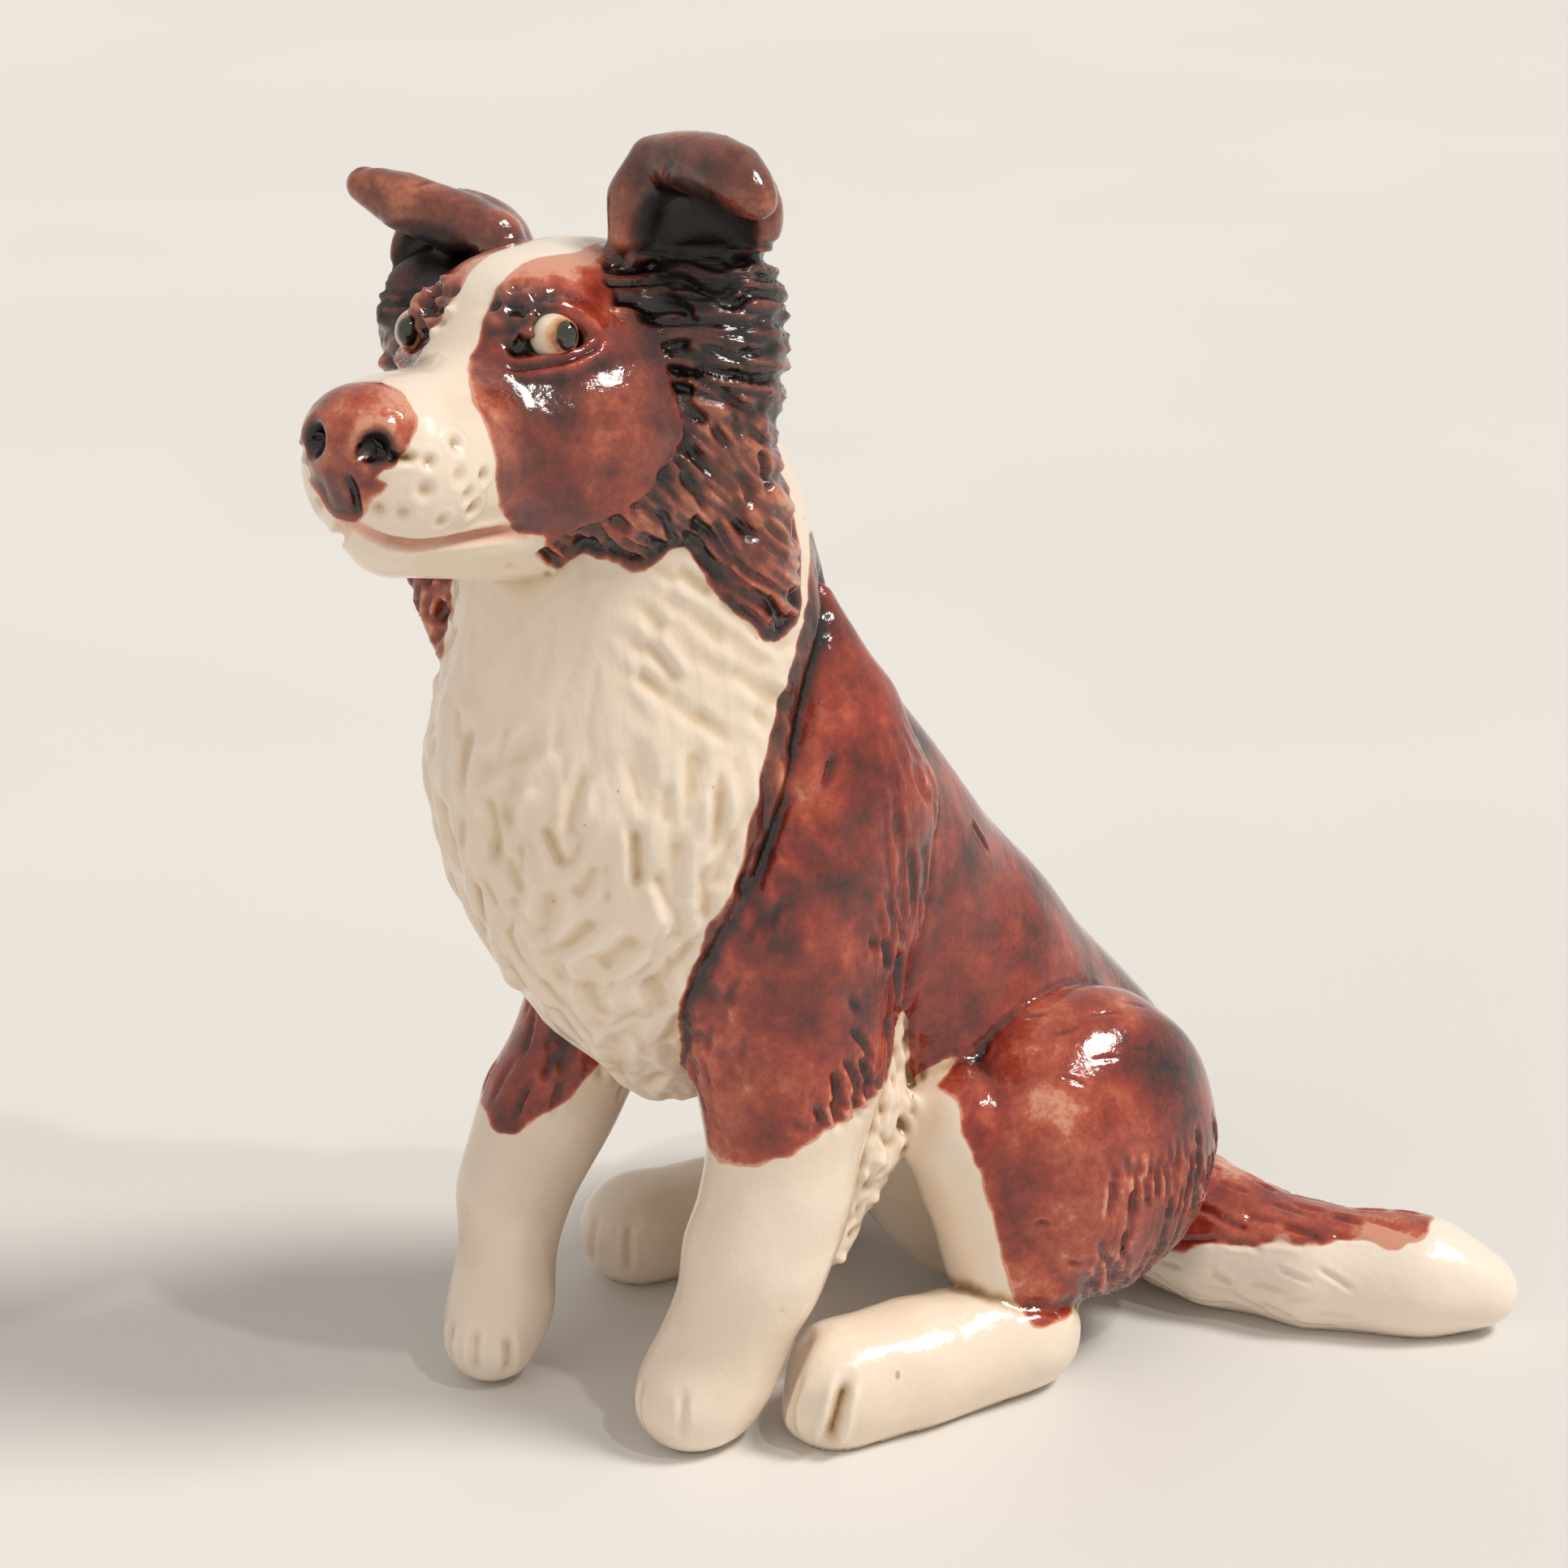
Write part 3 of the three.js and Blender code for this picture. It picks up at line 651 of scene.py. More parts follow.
LIP_CLEFT = [(1.4, -34.0, -9.4), (1.7, -33.5, -10.8), (1.7, -32.9, -12.2), (1.2, -32.3, -13.6)]
brow_crumbs = np.zeros(count)
for side in SIDES:
    for place in WHISKER_PITS:
        centre = on_skin(from_head(mirrored(place, side)))
        centre = centre + 0.15 * np.array([rng.uniform(-1, 1) for _ in range(3)])
        pit(centre, rng.uniform(0.9, 1.2), rng.uniform(0.5, 0.75), 0.25)
    carve(face_path(MOUTH, side), 0.75, 0.75, 0.35)
    carve(face_path(UNDER_EYE, side), 0.5, 0.65, 0.4)
    carve(face_path(NOSTRIL_SLIT, side), 0.6, 1.1, 0.3)
    pit(on_skin(from_head(NOSTRILS[side])), 1.9, 1.9, 0.1)
    brow_far = np.linalg.norm(head_points - mirrored(BROW, side), axis=1)
    brow = piece("head", side + "_upper_eyelid") & (brow_far < 3.6)
    for start in seeds(brow, 0.9):
        crumb(points[start], rng.uniform(0.7, 1.2), rng.uniform(-1.2, 0.9))
    brow_crumbs = np.maximum(brow_crumbs, brow.astype(float))
carve(face_path(LIP_CLEFT), 0.55, 0.7, 0.3)

# Slits pressed in for the toes, shallow on the near forepaw, and single marks of the tool on the shoulder,
# the back and the haunch: their stations, half-width, depth and how far the clay is pushed up beside them
SLITS = [
    ([(17.0, 2.4, 9.0), (17.4, 2.0, 6.0), (17.0, 2.2, 2.5)], 0.6, 0.45, 0.4),
    ([(11.5, 0.2, 8.6), (11.4, -0.6, 5.5), (11.5, -0.2, 2.5)], 0.6, 0.45, 0.4),
    ([(-9.1, -7.6, 8.3), (-8.7, -8.4, 5.2), (-8.8, -7.9, 2.0)], 0.7, 0.7, 0.4),
    ([(-6.8, -4.9, 7.2), (-6.5, -4.7, 5.1), (-7.0, -4.8, 2.0)], 0.7, 0.7, 0.4),
    ([(-12.3, -9.2, 8.0), (-12.6, -9.9, 5.0), (-12.5, -9.5, 2.0)], 0.7, 0.7, 0.4),
    ([(-23.9, 17.6, 9.4), (-23.9, 16.9, 6.6), (-24.0, 16.9, 2.5)], 0.6, 0.6, 0.4),
    ([(-19.9, 19.6, 9.4), (-19.5, 18.9, 6.6), (-19.4, 19.0, 2.5)], 0.6, 0.6, 0.4),
    ([(25.6, 17.6, 9.6), (26.0, 16.2, 7.2), (25.9, 15.6, 4.8), (23.8, 16.2, 0.8)], 0.95, 1.5, 0.5),
    ([(21.9, 14.2, 9.4), (21.6, 13.2, 7.0), (21.3, 12.8, 4.6), (20.9, 13.0, 1.4)], 0.8, 0.55, 0.4),
    ([(19.8, 19.4, 77.9), (20.3, 18.6, 75.9), (20.4, 17.9, 74.2)], 0.55, 0.75, 0.4),
    ([(10.8, 44.0, 62.2), (11.0, 45.1, 60.3), (11.1, 46.1, 58.6)], 0.5, 0.6, 0.4),
    ([(27.2, 41.4, 21.5), (27.7, 43.0, 21.6)], 0.4, 0.5, 0.4),
    ([(28.5, 45.0, 16.0), (28.6, 46.6, 15.6)], 0.4, 0.5, 0.4),
]
for stations, width, depth, lift in SLITS:
    carve(skin_path(stations), width, depth, lift)

# Soft dents of the fingers: place, radius and height
DENTS = [
    ((13.0, -14.0, 113.5), 5, -0.5), ((16.5, -6, 110), 5, -0.4), ((23, 40, 40), 6, -0.3),
    ((22, 22, 60), 8, -0.4), ((21.5, 14, 68), 7, 0.3), ((18, 48, 52), 8, -0.3),
]
for place, radius, height in DENTS:
    crumb(on_skin(place), radius, height)
relief += 0.16 * lattice_noise(points, 8, 3) + 0.06 * lattice_noise(points, 3, 4)
relief += 0.14 * piece("head") * lattice_noise(points * [1, 1, 1.6], 5, 7)
legs = piece(*both("hind_foot"), *both("shank"), *both("foreleg"))
relief += 0.2 * legs * lattice_noise(points, 4.5, 9)

# The worked skin, left as it is on the table
MOST_RELIEF = 0.9
SOLE_HEIGHT = 0.6
sole = bz < SOLE_HEIGHT
calm = np.where(sole, 0, rising(bz, SOLE_HEIGHT, 2))
ridge = ridge * (1 - np.clip(groove / 0.5, 0, 1))
moved = (ridge + np.clip(relief, -MOST_RELIEF, MOST_RELIEF) - groove) * calm
moved = 0.6 * moved + 0.4 * neighbour_mean(moved)
thick_glaze = (chest | legs) & (strand_share < 0.5)
moved = np.where(thick_glaze, blurred(moved, 0.3), moved)
worked = points + normals * moved[:, None]
for _ in range(2):
    worked = worked + 0.35 * (neighbour_mean(worked) - worked)
worked[:, 2] = np.where(sole & (bz <= TABLE_REACH), 0, np.maximum(worked[:, 2], 0))

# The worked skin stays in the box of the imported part
BOX_MARGIN = 0.02
low, high = np.array(cad_box) / MM - FRAME_SHIFT
worked_low, worked_high = worked.min(0), worked.max(0)
span = np.minimum(1, (high - low - 2 * BOX_MARGIN) / (worked_high - worked_low))
middle = (low + high) / 2
worked_middle = (worked_low + worked_high) / 2
for axis in (0, 1):
    worked[:, axis] = middle[axis] + (worked[:, axis] - worked_middle[axis]) * span[axis]
worked[:, 2] *= min(1, (high[2] - BOX_MARGIN) / worked_high[2])
normals = normals_of(worked)


# Paint: where the brown glaze lies, where it is dark, where glaze pools, with shade painted into the recesses,
# and where it runs thin, with a highlight painted on the crown
def smooth_step(value, low_end, high_end):
    t = rising(value, low_end, high_end - low_end)
    return t * t * (3 - 2 * t)


def soft(value, width=0.8):
    """A mask from a distance in millimetres: 1 well inside, 0 well outside."""
    return smooth_step(value, -width, width)


def brush(where, amount):
    """Lays brown glaze on the vertices of a region, in place of what they had."""
    np.copyto(brown, amount, where=where)


wander = 0.9 * lattice_noise(points, 4.5, 21) + 0.5 * lattice_noise(points, 1.8, 22)
brown = np.zeros(count)

# head: brown cheeks and crown, with a white blaze that widens over the muzzle
BLAZE_STATIONS = [-26, -21, -18, -15.7, -13.4, -11.6, -8.4, -2, 5, 14]
blaze_near = np.interp(hy, BLAZE_STATIONS, [9, 6.5, 3.4, 2.6, 2.3, 2.4, 3.4, 5.2, 4.6, 2])
blaze_far = np.interp(hy, BLAZE_STATIONS, [9, 6.8, 5.4, 4.6, 3.6, 1.8, 1.2, 0.4, 0.2, -1])
beside_blaze = np.where(hx > 0, hx - blaze_near, -hx - blaze_far)
MUZZLE_HEIGHTS = [-19, -17, -14, -11, -7.5, -4, -2]
behind_muzzle = hy - np.interp(hz, MUZZLE_HEIGHTS, [-13.5, -15.7, -19.3, -20.9, -21.3, -21.3, -20.6])
above_throat = hz - np.interp(hy, [-20, -15, -8, 0, 6], [-17.0, -17.6, -18.6, -20.5, -24])
cheek_inside = np.minimum(np.minimum(beside_blaze, behind_muzzle), above_throat)
brush(piece("head", *both("upper_eyelid"), *both("lower_eyelid")), soft(cheek_inside + 0.35 * wander))
brush(piece("lower_jaw"), soft(np.minimum(behind_muzzle, above_throat) + 0.35 * wander))
face = ("head", "lower_jaw")
nose_far = border(("nose_pad",), face, 6)
brush(piece(*face) & (hz < -10), np.maximum(brown, 0.75 * soft(1.3 - nose_far + 0.3 * wander)))
mane_near = np.minimum(border(face, ("left_mane",), 4), border(face, ("right_mane",), 4))
jaw_corner = piece(*face) & (hz < -12) & (hy > -12)
brush(jaw_corner, np.maximum(brown, soft(4.0 - mane_near + 0.5 * wander)))
brush(piece("nose_pad", *both("ear"), *both("mane")), 1)

# body
slab_near = np.minimum(seam_front["left"], seam_front["right"])
band = np.interp(bz, [44, 56, 66, 76, 90], [0.5, 1.3, 2.6, 4.2, 4.2])
chest_brown = soft(band - np.minimum(slab_near, withers_seam) + 0.12 * wander, 0.5)
mane_far = np.minimum(*[border(("neck_and_chest",), (side + "_mane",), 3) for side in SIDES])
chest_brown = np.maximum(chest_brown, soft(0.7 - mane_far + 0.6 * wander, 0.6))
brush(chest, chest_brown)
belly_edge = np.interp(by, [20, 34, 42, 60, 70], [36, 33.6, 33, 10, 0])
brush(piece("trunk"), soft(bz - belly_edge + 0.6 * wander))
left_edge = 33.4 + 0.45 * np.clip(by - 8.5, -4, 12)
right_edge = 31.2 + 0.6 * np.clip(by, -4, 16)
brush(piece("left_foreleg"), soft(bz - left_edge + 0.9 * wander, 0.7))
brush(piece("right_foreleg"), soft(bz - right_edge + 0.9 * wander, 0.7))
brush(piece(*both("haunch")), 1)
haunch_rear = 34.7 + 0.26 * np.clip(32 - bz, 0, 40)
brush(piece(*both("shank")), soft(np.minimum(by - haunch_rear, np.abs(bx) - 17) + 0.5 * wander, 0.6))
brush(piece(*both("hind_foot")), soft(np.minimum(bz - 9.3, by - 40.5) + 0.4 * wander, 0.5))
tail_along = (bx - 5) * 0.75 + (by - 72) * 0.65
tail_edge = np.interp(tail_along, [0, 12, 22, 32, 36, 40], [6, 9.6, 10.8, 11.5, 12.6, 20])
brush(tail, soft(bz - tail_edge + 1.2 * wander, 0.7))
brown = blurred(brown, 0.35)

# darker glaze in the ears and manes and in the open seams
MOST_DARK = 2.4
hollow_left = np.linalg.norm((head_points - [17.4, 0.5, 9.4]) / [7.6, 6.2, 6.8], axis=1)
hollow_right = np.linalg.norm((head_points - [-16.5, 0.5, 5.5]) / [7.6, 6.2, 6.2], axis=1)
hollow = np.minimum(hollow_left, hollow_right)
hair_soft = blurred(hair, 0.6)
mane_dark = hair_soft * np.interp(hz, [-32, -27, -22, -10, 0], [0.05, 0.15, 0.4, 0.5, 0.75])
tongue = (hz < -12) * smooth_step(13.5 - np.abs(hx), -1.5, 1.5)
mane_dark = mane_dark * (1 - 0.7 * tongue)
ear_dark = blurred(piece(*both("ear")).astype(float), 0.8) * np.interp(hollow, [1.1, 1.8], [0.9, 0.35])
nostril_far = np.minimum(*[np.linalg.norm(head_points - NOSTRILS[side], axis=1) for side in SIDES])
cheek_dark = np.interp(hz, [-17, -13, -9, -2, 3], [0.08, 0.15, 0.28, 0.25, 0])
dark = np.maximum.reduce([
    mane_dark,
    ear_dark,
    MOST_DARK * (1 - smooth_step(hollow, 0.85, 1.15)),
    0.45 * blurred(brow_crumbs, 0.5),
    0.3 * piece("nose_pad") * smooth_step(-hz, 5, 8),
    1.6 * (1 - smooth_step(nostril_far, 1.3, 2.3)),
    0.4 * chest_brown * chest,
    piece("head") * (1 - hair_soft) * cheek_dark,
])
dark = np.clip(dark + 0.12 * lattice_noise(points, 3, 31), 0, MOST_DARK)

# recesses and proud edges, measured on the worked skin at two scales: recesses darker, partly glaze pooled
# there and partly painted shade; edges paler where the glaze runs thin
fine = ((blurred(worked, 0.7) - worked) * normals).sum(1)
broad = ((blurred(worked, 2.6) - worked) * normals).sum(1)
pool_and_shade = np.clip(2.6 * fine + 0.55 * broad, 0, 1)
thin_and_highlight = np.clip(-2.4 * fine - 0.45 * broad, 0, 1)
# painted highlight: the top of the head beside the blaze is made paler, partly glaze run thin there and partly
# the light falling on the crown painted in
crown_thin_and_highlight = smooth_step(hz, 3.5, 8) * smooth_step(-hy, -1, 4) * (1 - smooth_step(beside_blaze, 2, 7))
thin_and_highlight = np.maximum(thin_and_highlight, 1.5 * piece("head") * crown_thin_and_highlight * (1 - blurred(hair, 0.8)))
# lighter as well all over the tail and towards the top of the left shoulder slab
thin_and_highlight = np.maximum(thin_and_highlight, 0.9 * tail)
thin_and_highlight = np.maximum(thin_and_highlight, 0.25 * piece("left_foreleg") * smooth_step(bz, 66, 74))
filling_depth = np.where(thick_glaze, 3.5, np.where(hair > 0.3, 2.3, 1.4))
pool_and_shade = np.maximum(pool_and_shade, np.clip(groove / filling_depth, 0, 1))
pool_and_shade = 0.5 * (pool_and_shade + neighbour_mean(pool_and_shade))
back = piece("trunk") & (bz > 34)
# the brown back of the trunk is made a little darker all over
pool_and_shade = np.maximum(pool_and_shade, 0.3 * blurred(back.astype(float), 1.5) * (brown > 0.5))
pink = np.zeros(count)
for p in np.concatenate([face_path(MOUTH, side) for side in SIDES]):
    index = around(p, 2.0)
    pink[index] = np.maximum(pink[index], 1 - smooth_step(np.linalg.norm(points[index] - p, axis=1), 0.2, 1.4))

PAINT = {
    "brown_glaze": brown, "dark_glaze": dark, "pooled_glaze": pool_and_shade, "thin_glaze": thin_and_highlight, "mouth_tint": pink,
    "strand_across": strand_across, "strand_along": strand_along, "strand_share": strand_share,
}
for name, values in PAINT.items():
    mesh.attributes.new(name, "FLOAT", "POINT").data.foreach_set("value", values.astype(np.float32))
mesh.vertices.foreach_set("co", ((worked + FRAME_SHIFT) * MM).ravel())
mesh.update()

# The skin is parted along the seams into the pieces of clay
quad_pieces = np.sort(piece_of[quads], axis=1)
quad_piece = np.where(quad_pieces[:, 1] == quad_pieces[:, 2], quad_pieces[:, 1], quad_pieces[:, 0])
for name in CLAY:
    mesh.materials.append(bpy.data.materials.new("part_" + name))
mesh.polygons.foreach_set("material_index", quad_piece.astype(np.int32))
make_active(skin)
bpy.ops.mesh.separate(type="MATERIAL")
made = {}
for obj in list(bpy.context.selected_objects):
    name = obj.data.materials[obj.data.polygons[0].material_index].name[len("part_"):]
    made[name] = obj


# Glazes
def srgb(red, green, blue):
    """A colour written as it looks, from 0 to 255, in the linear values that the shaders use."""
    linear = [c / 255 / 12.92 if c <= 10 else ((c / 255 + 0.055) / 1.055) ** 2.4 for c in (red, green, blue)]
    return (*linear, 1)


class Graph:
    """A node tree with short calls for the nodes used here."""

    def __init__(self, tree):
        self.tree = tree

    def node(self, kind, **settings):
        made_node = self.tree.nodes.new(kind)
        for key, value in settings.items():
            setattr(made_node, key, value)
        return made_node

    def put(self, value, socket):
        if isinstance(value, bpy.types.NodeSocket):
            self.tree.links.new(value, socket)
        else:
            socket.default_value = value

    def place(self):
        return self.node("ShaderNodeTexCoord").outputs["Object"]

    def attribute(self, name):
        return self.node("ShaderNodeAttribute", attribute_name=name).outputs["Fac"]

    def math(self, operation, a, b, clamp=False):
        n = self.node("ShaderNodeMath", operation=operation, use_clamp=clamp)
        self.put(a, n.inputs[0])
        self.put(b, n.inputs[1])
        return n.outputs[0]

    def plus(self, a, b, clamp=False):
        return self.math("ADD", a, b, clamp)

    def minus(self, a, b, clamp=False):
        return self.math("SUBTRACT", a, b, clamp)

    def times(self, a, b, clamp=False):
        return self.math("MULTIPLY", a, b, clamp)

    def swing(self, value, size):
        """A value from 0 to 1, made to swing by size about 0."""
        return self.times(self.minus(value, 0.5), size)

    def noise(self, place, scale, detail=3, roughness=0.55):
        n = self.node("ShaderNodeTexNoise")
        self.put(place, n.inputs["Vector"])
        n.inputs["Scale"].default_value = scale
        n.inputs["Detail"].default_value = detail
        n.inputs["Roughness"].default_value = roughness
        return n.outputs["Fac"]

    def ramp(self, value, stops, smooth=True):
        n = self.node("ShaderNodeValToRGB")
        n.color_ramp.interpolation = "EASE" if smooth else "LINEAR"
        elements = n.color_ramp.elements
        while len(elements) < len(stops):
            elements.new(1)
        for element, (position, colour) in zip(elements, stops):
            element.position = position
            element.color = colour if isinstance(colour, tuple) else (colour, colour, colour, 1)
        self.put(value, n.inputs["Fac"])
        return n.outputs["Color"]

    def mix(self, share, a, b):
        n = self.node("ShaderNodeMix", data_type="RGBA")
        self.put(share, n.inputs["Factor"])
        self.put(a, n.inputs[6])
        self.put(b, n.inputs[7])
        return n.outputs[2]

    def bump(self, height, strength, distance):
        n = self.node("ShaderNodeBump")
        n.inputs["Strength"].default_value = strength
        n.inputs["Distance"].default_value = distance
        self.put(height, n.inputs["Height"])
        return n.outputs[0]


def new_group(name, labels):
    """A node group for a glaze, with its place, its masks from 0 to 1, and what it gives to a shader."""
    group = bpy.data.node_groups.new(name, "ShaderNodeTree")
    group.interface.new_socket("Place", in_out="INPUT", socket_type="NodeSocketVector")
    for label in labels:
        group.interface.new_socket(label, in_out="INPUT", socket_type="NodeSocketFloat")
    for label, kind in (("Colour", "Color"), ("Height", "Float"), ("Roughness", "Float")):
        group.interface.new_socket(label, in_out="OUTPUT", socket_type="NodeSocket" + kind)
    graph = Graph(group)
    return group, graph, graph.node("NodeGroupInput").outputs, graph.node("NodeGroupOutput").inputs


# Iron brown glaze: orange where it is thin and under the painted highlight on the crown, red in the middle,
# nearly black where it pools, with shade painted into the recesses
group_brown, g, source, sink = new_group(
    "iron_brown_glaze", ("Pooled", "Thin", "Dark", "Coverage", "Strands"))
clouds = g.noise(source["Place"], 130, 6, 0.68)
patches = g.noise(source["Place"], 40, 3, 0.55)
specks = g.noise(source["Place"], 1500, 2, 0.6)
depth = g.plus(g.swing(clouds, 1.6), g.swing(patches, 1.6))
depth = g.plus(depth, 0.46)
# darker in the recesses: partly glaze pooled there, partly painted shade
depth = g.plus(depth, g.times(source["Pooled"], 0.5))
# paler where the glaze runs thin and under the painted highlight on the crown
depth = g.minus(depth, g.times(source["Thin"], 0.36))
depth = g.plus(depth, g.times(source["Dark"], 0.25))
depth = g.plus(depth, g.times(source["Strands"], 0.55))
depth = g.minus(depth, g.times(g.minus(1.0, source["Coverage"]), 0.5))
depth = g.plus(depth, g.swing(specks, 0.22), clamp=True)
red = g.ramp(depth, [
    (0.0, srgb(214, 148, 120)), (0.14, srgb(186, 88, 60)), (0.34, srgb(154, 56, 38)), (0.55, srgb(120, 39, 28)),
    (0.74, srgb(82, 29, 21)), (0.9, srgb(48, 19, 14)), (1.0, srgb(22, 10, 8))], smooth=False)
umber = g.ramp(depth, [
    (0.0, srgb(206, 146, 116)), (0.2, srgb(176, 104, 76)), (0.42, srgb(128, 66, 50)), (0.62, srgb(96, 48, 38)),
    (0.8, srgb(62, 31, 26)), (0.94, srgb(30, 15, 12)), (1.0, srgb(18, 9, 7))], smooth=False)
g.put(g.mix(g.times(source["Dark"], 2.2, clamp=True), red, umber), sink["Colour"])
peel = g.noise(source["Place"], 620, 2, 0.5)
surface = g.plus(g.times(peel, 0.7), g.times(specks, 0.3))
g.put(g.minus(surface, g.times(source["Strands"], 2.5)), sink["Height"])
g.put(g.plus(0.07, g.times(clouds, 0.12)), sink["Roughness"])

# White glaze: cream, warmer where thin over an edge and under the painted highlight on the crown, browner where
# it pools, with shade painted into the recesses, and a rare brown speck
group_white, g, source, sink = new_group("cream_white_glaze", ("Pooled", "Thin", "Pink", "Strands"))
clouds = g.noise(source["Place"], 60, 3, 0.55)
specks = g.noise(source["Place"], 760, 1, 0.5)
# browner in the recesses: partly glaze pooled there, partly painted shade
depth = g.plus(0.26, g.times(source["Pooled"], 0.75))
depth = g.plus(depth, g.swing(clouds, 0.5))
# paler where the glaze runs thin and under the painted highlight on the crown
depth = g.minus(depth, g.times(source["Thin"], 0.3), clamp=True)
cream = g.ramp(depth, [
    (0.0, srgb(243, 228, 210)), (0.3, srgb(238, 219, 198)), (0.6, srgb(220, 195, 164)),
    (0.85, srgb(186, 155, 116)), (1.0, srgb(138, 105, 70))])
cream = g.mix(g.times(source["Pink"], 0.75), cream, srgb(214, 142, 118))
rare = g.ramp(specks, [(0.0, 0.0), (0.79, 0.0), (0.83, 1.0)], smooth=False)
g.put(g.mix(g.times(rare, 0.5), cream, srgb(130, 96, 70)), sink["Colour"])
surface = g.noise(source["Place"], 500, 2, 0.5)
g.put(g.minus(surface, g.times(source["Strands"], 1.5)), sink["Height"])
g.put(g.plus(0.16, g.times(clouds, 0.14)), sink["Roughness"])


def use_group(graph, group, values):
    n = graph.node("ShaderNodeGroup", node_tree=group)
    for label, value in values.items():
        graph.put(value, n.inputs[label])
    return n.outputs


def new_material(name):
    material = bpy.data.materials.new(name)
    material.use_nodes = True
    material.node_tree.nodes.clear()
    graph = Graph(material.node_tree)
    shader = graph.node("ShaderNodeBsdfPrincipled")
    output = graph.node("ShaderNodeOutputMaterial")
    graph.tree.links.new(shader.outputs[0], output.inputs["Surface"])
    return material, graph, shader.inputs


STRAND_SCALE = (1.5, 0.16)  # how often the strands change across the hair and along it, in a millimetre
STARVED_ROUGHNESS = 0.5  # in the ears' hollows and the nostrils, where hardly any clear glaze lies
GLAZE_IOR = 1.52


def painted_clay(name, coat):
    """The glazed clay: brown over white by the painted mask, with a ragged, slightly bled border."""
    material, graph, shader = new_material(name)
    place = graph.place()
    rim = graph.plus(graph.attribute("brown_glaze"), graph.swing(graph.noise(place, 600, 3, 0.6), 0.35))
    coverage = graph.ramp(rim, [(0.0, 0.0), (0.40, 0.0), (0.62, 1.0)])
    fullness = graph.ramp(rim, [(0.0, 0.0), (0.45, 0.0), (0.98, 1.0)])
    dark = graph.attribute("dark_glaze")
    strand_place = graph.node("ShaderNodeCombineXYZ")
    graph.put(graph.times(graph.attribute("strand_across"), STRAND_SCALE[0]), strand_place.inputs[0])
    graph.put(graph.times(graph.attribute("strand_along"), STRAND_SCALE[1]), strand_place.inputs[1])
    strands = graph.minus(graph.noise(strand_place.outputs[0], 1, 3, 0.6), 0.5)
    shared = {
        "Place": place, "Pooled": graph.attribute("pooled_glaze"), "Thin": graph.attribute("thin_glaze"),
        "Strands": graph.times(strands, graph.attribute("strand_share")),
    }
    brown_out = use_group(graph, group_brown, {**shared, "Dark": dark, "Coverage": fullness})
    white_out = use_group(graph, group_white, {**shared, "Pink": graph.attribute("mouth_tint")})
    colour, roughness, height = (
        graph.mix(coverage, white_out[label], brown_out[label]) for label in ("Colour", "Roughness", "Height"))
    graph.put(colour, shader["Base Color"])
    starved = graph.times(graph.minus(dark, 0.9), 1.2, clamp=True)
    graph.put(graph.mix(starved, roughness, (*[STARVED_ROUGHNESS] * 3, 1)), shader["Roughness"])
    graph.put(graph.times(graph.minus(1.0, starved), coat), shader["Coat Weight"])
    graph.put(graph.bump(height, 0.45, 0.28 * MM), shader["Normal"])
    shader["IOR"].default_value = GLAZE_IOR
    shader["Coat Roughness"].default_value = 0.05
    return material


GLAZES = {
    "brown_glaze": painted_clay("iron_brown_glazed_clay", 0.35),
    "dark_brown_glaze": painted_clay("dark_brown_glazed_clay", 0.3),
    "white_glaze": painted_clay("cream_white_glazed_clay", 0.2),
}

# Each piece of the skin is given a wall and its glaze
WALL = 1.1
THIN_WALL = 0.5
THIN_PIECES = ("eyelid", "ear", "nose_pad")
MOST_OUTER = 90000  # triangles of one piece before it has its wall
SMOOTH_ANGLE = math.radians(70)
for name, obj in made.items():
    obj.name = name + "_glazed"
    obj.data.name = obj.name
    obj.data.materials.clear()
    wall = THIN_WALL if any(word in name for word in THIN_PIECES) else WALL
    outer = len(obj.data.polygons) * 2
    if outer > MOST_OUTER:
        apply_modifier(obj, "DECIMATE", ratio=MOST_OUTER / outer)
    apply_modifier(obj, "SOLIDIFY", thickness=wall * MM, offset=-1, use_even_offset=False)
    make_active(obj)
    bpy.ops.object.shade_smooth_by_angle(angle=SMOOTH_ANGLE)
    obj.data.materials.append(GLAZES[SLOT_OF[name]])
    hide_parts(name)
    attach(obj, "root")

# Eyes: a cream ball with an amber iris painted on, and a raised black-green bead
EYE_RADIUS = 2.4
EYE_SINK = 0.1
IRIS_REACH = 3.2  # from the middle of the bead to where the eye is all cream
PUPIL_RADIUS = 1.15
PUPIL_HEIGHT = 1.3  # times its width
PUPIL_SINK = 0.35  # times its radius
EYE_FACING = (0.72, -0.69, 0.35)
GLANCES = {"left": np.array([0.95, -0.3, 0.08]), "right": np.array([0.1, -0.99, 0.1])}


def eye_material(name, bead):
    material, graph, shader = new_material(name)
    place = graph.place()
    apart = graph.node("ShaderNodeVectorMath", operation="DISTANCE")
    graph.put(place, apart.inputs[0])
    apart.inputs[1].default_value = tuple((bead + FRAME_SHIFT) * MM)
    uneven = graph.swing(graph.noise(place, 900, 2), 0.3)
    far = graph.plus(graph.math("DIVIDE", apart.outputs["Value"], IRIS_REACH * MM), uneven)
    colour = graph.ramp(far, [
        (0.0, srgb(24, 18, 12)), (0.36, srgb(46, 28, 18)), (0.42, srgb(170, 104, 62)),
        (0.56, srgb(220, 172, 126)), (0.72, srgb(240, 222, 196)), (1.0, srgb(240, 226, 204))])
    graph.put(colour, shader["Base Color"])
    graph.put(graph.plus(0.06, graph.times(graph.noise(place, 700, 2), 0.1)), shader["Roughness"])
    graph.put(graph.bump(graph.noise(place, 900, 2), 0.3, 0.1 * MM), shader["Normal"])
    shader["Coat Weight"].default_value = 0.6
    shader["Coat Roughness"].default_value = 0.04
    return material


